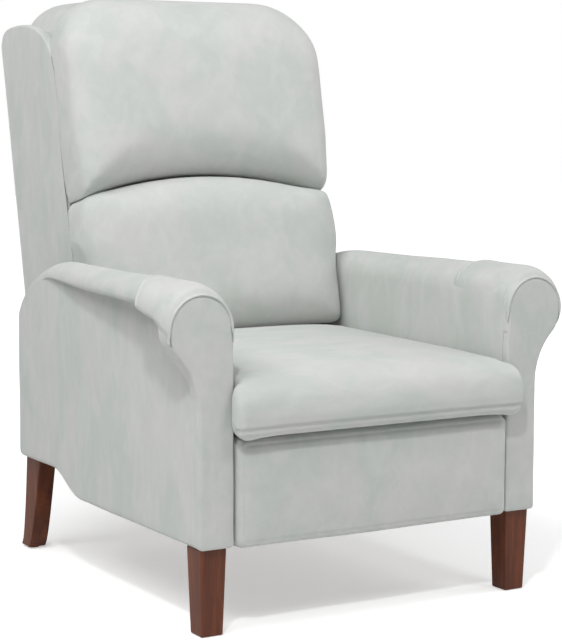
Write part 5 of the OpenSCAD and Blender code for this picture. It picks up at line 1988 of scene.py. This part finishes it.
@dataclass
class Studio:
    """A pale floor, soft light and the camera of the photographed view."""

    place: tuple[float, float, float] = (-1.7107, -3.0346, 0.8358)
    yaw: float = -30.376
    pitch: float = 6.336
    roll: float = 0.111
    lens: float = 106.784
    shift: float = 0.01413
    glow: float = 0.45
    floor_reach: float = 14.0
    aim: float = 0.45

    def camera(self) -> None:
        """Sets the camera."""
        yaw, pitch, roll = (math.radians(a) for a in (self.yaw, self.pitch, self.roll))
        back = Vector((math.sin(yaw) * math.cos(pitch), -math.cos(yaw) * math.cos(pitch), math.sin(pitch)))
        right = (-back).cross(Vector((0, 0, 1))).normalized()
        up = right.cross(-back)
        r2 = right * math.cos(roll) + up * math.sin(roll)
        u2 = up * math.cos(roll) - right * math.sin(roll)
        data = bpy.data.cameras.new("photo_view")
        data.lens, data.sensor_width, data.sensor_fit = self.lens, 36.0, "AUTO"
        data.shift_x = self.shift
        data.clip_end = 60.0
        cam = bpy.data.objects.new("photo_view", data)
        turn = Matrix((r2, u2, back)).transposed()
        cam.matrix_world = Matrix.Translation(self.place) @ turn.to_4x4()
        bpy.context.scene.collection.objects.link(cam)
        bpy.context.scene.camera = cam

    def floor(self) -> None:
        """Adds the pale floor, which keeps the shadow and reads white to the camera."""
        data = bpy.data.meshes.new("studio_floor")
        r = self.floor_reach
        data.from_pydata([(-r, -r, 0), (r, -r, 0), (r, r, 0), (-r, r, 0)], [], [(0, 1, 2, 3)])
        floor = bpy.data.objects.new("studio_floor", data)
        bpy.context.scene.collection.objects.link(floor)
        material = bpy.data.materials.new("pale_floor")
        material.use_nodes = True
        tree = material.node_tree
        shader = tree.nodes["Principled BSDF"]
        shader.inputs["Base Color"].default_value = (0.86, 0.86, 0.86, 1)
        shader.inputs["Roughness"].default_value = 0.95
        path = tree.nodes.new("ShaderNodeLightPath")
        glow = tree.nodes.new("ShaderNodeMath")
        glow.operation = "MULTIPLY"
        spot = tree.nodes.new("ShaderNodeTexCoord")
        away = tree.nodes.new("ShaderNodeVectorMath")
        away.operation = "LENGTH"
        grow = tree.nodes.new("ShaderNodeMapRange")
        for name, number in (("From Min", 0.5), ("From Max", 2.2), ("To Min", self.glow), ("To Max", 1.0)):
            grow.inputs[name].default_value = number
        tree.links.new(spot.outputs["Object"], away.inputs[0])
        tree.links.new(away.outputs["Value"], grow.inputs["Value"])
        tree.links.new(grow.outputs["Result"], glow.inputs[1])
        tree.links.new(path.outputs["Is Camera Ray"], glow.inputs[0])
        tree.links.new(glow.outputs[0], shader.inputs["Emission Strength"])
        shader.inputs["Emission Color"].default_value = (1, 1, 1, 1)
        data.materials.append(material)

    def world(self) -> None:
        """Sets a soft sky that is plain white to the camera and to reflections."""
        world = bpy.data.worlds.new("studio")
        world.use_nodes = True
        bpy.context.scene.world = world
        tree = world.node_tree
        tree.nodes.clear()
        path = tree.nodes.new("ShaderNodeLightPath")
        soft, white = (tree.nodes.new("ShaderNodeBackground") for _ in range(2))
        soft.inputs["Color"].default_value = (0.97, 0.985, 1.0, 1)
        soft.inputs["Strength"].default_value = 0.08
        white.inputs["Color"].default_value = (1, 1, 1, 1)
        seen, either = (tree.nodes.new("ShaderNodeMath") for _ in range(2))
        seen.operation = either.operation = "MAXIMUM"
        mix = tree.nodes.new("ShaderNodeMixShader")
        out = tree.nodes.new("ShaderNodeOutputWorld")
        tree.links.new(path.outputs["Is Camera Ray"], seen.inputs[0])
        tree.links.new(path.outputs["Is Glossy Ray"], seen.inputs[1])
        tree.links.new(seen.outputs[0], either.inputs[0])
        tree.links.new(path.outputs["Is Transmission Ray"], either.inputs[1])
        tree.links.new(either.outputs[0], mix.inputs[0])
        tree.links.new(soft.outputs[0], mix.inputs[1])
        tree.links.new(white.outputs[0], mix.inputs[2])
        tree.links.new(mix.outputs[0], out.inputs["Surface"])

    def lamp(self, name: str, bearing: float, rise: float, away: float, size: float, power: float) -> None:
        """Adds a square soft box that faces the recliner's middle.

        Args:
            name: The lamp's name.
            bearing: Angle round the recliner in degrees, from straight in front towards its right.
            rise: Angle above the level of the middle in degrees.
            away: Distance from the middle in metres.
            size: Side of the soft box in metres.
            power: Power in watts.
        """
        data = bpy.data.lights.new(name, "AREA")
        data.size, data.energy = size, power
        a, e = math.radians(bearing), math.radians(rise)
        place = Vector((math.sin(a) * math.cos(e), -math.cos(a) * math.cos(e), math.sin(e))) * away
        lamp = bpy.data.objects.new(name, data)
        lamp.location = place + Vector((0, 0, self.aim))
        lamp.rotation_euler = (-place).to_track_quat("-Z", "Y").to_euler()
        bpy.context.scene.collection.objects.link(lamp)

    def build(self) -> None:
        """Sets up the whole studio."""
        self.camera()
        self.floor()
        self.world()
        self.lamp("overhead", 0, 88, 3.0, 2.2, 4.0)
        self.lamp("key", -36, 43, 3.8, 0.24, 43.0)
        self.lamp("front_right", 20, 42, 3.4, 0.8, 20.5)
        self.lamp("high_left", -70, 50, 3.2, 1.8, 51.0)
        self.lamp("right", 70, 25, 3.2, 1.8, 29.0)
        self.lamp("behind_left", -140, 35, 3.2, 1.8, 11.0)
        bpy.context.scene.view_settings.view_transform = "Standard"


def main() -> None:
    """Builds and dresses the whole recliner."""
    logging.basicConfig(level=logging.INFO, format="%(name)s %(message)s")
    Studio().build()
    shop = Workshop()
    for side in Side:
        Arm(shop, side).build()
    Legs(shop).build()
    RailCover(shop).build()
    SeatCushion(shop).build()
    FootrestPad(shop).build()
    BackCushions(shop).build()
    BackShell(shop).build()
    Webbing(shop).build()
    Hardware(shop).build()


if __name__ == "__main__":
    main()
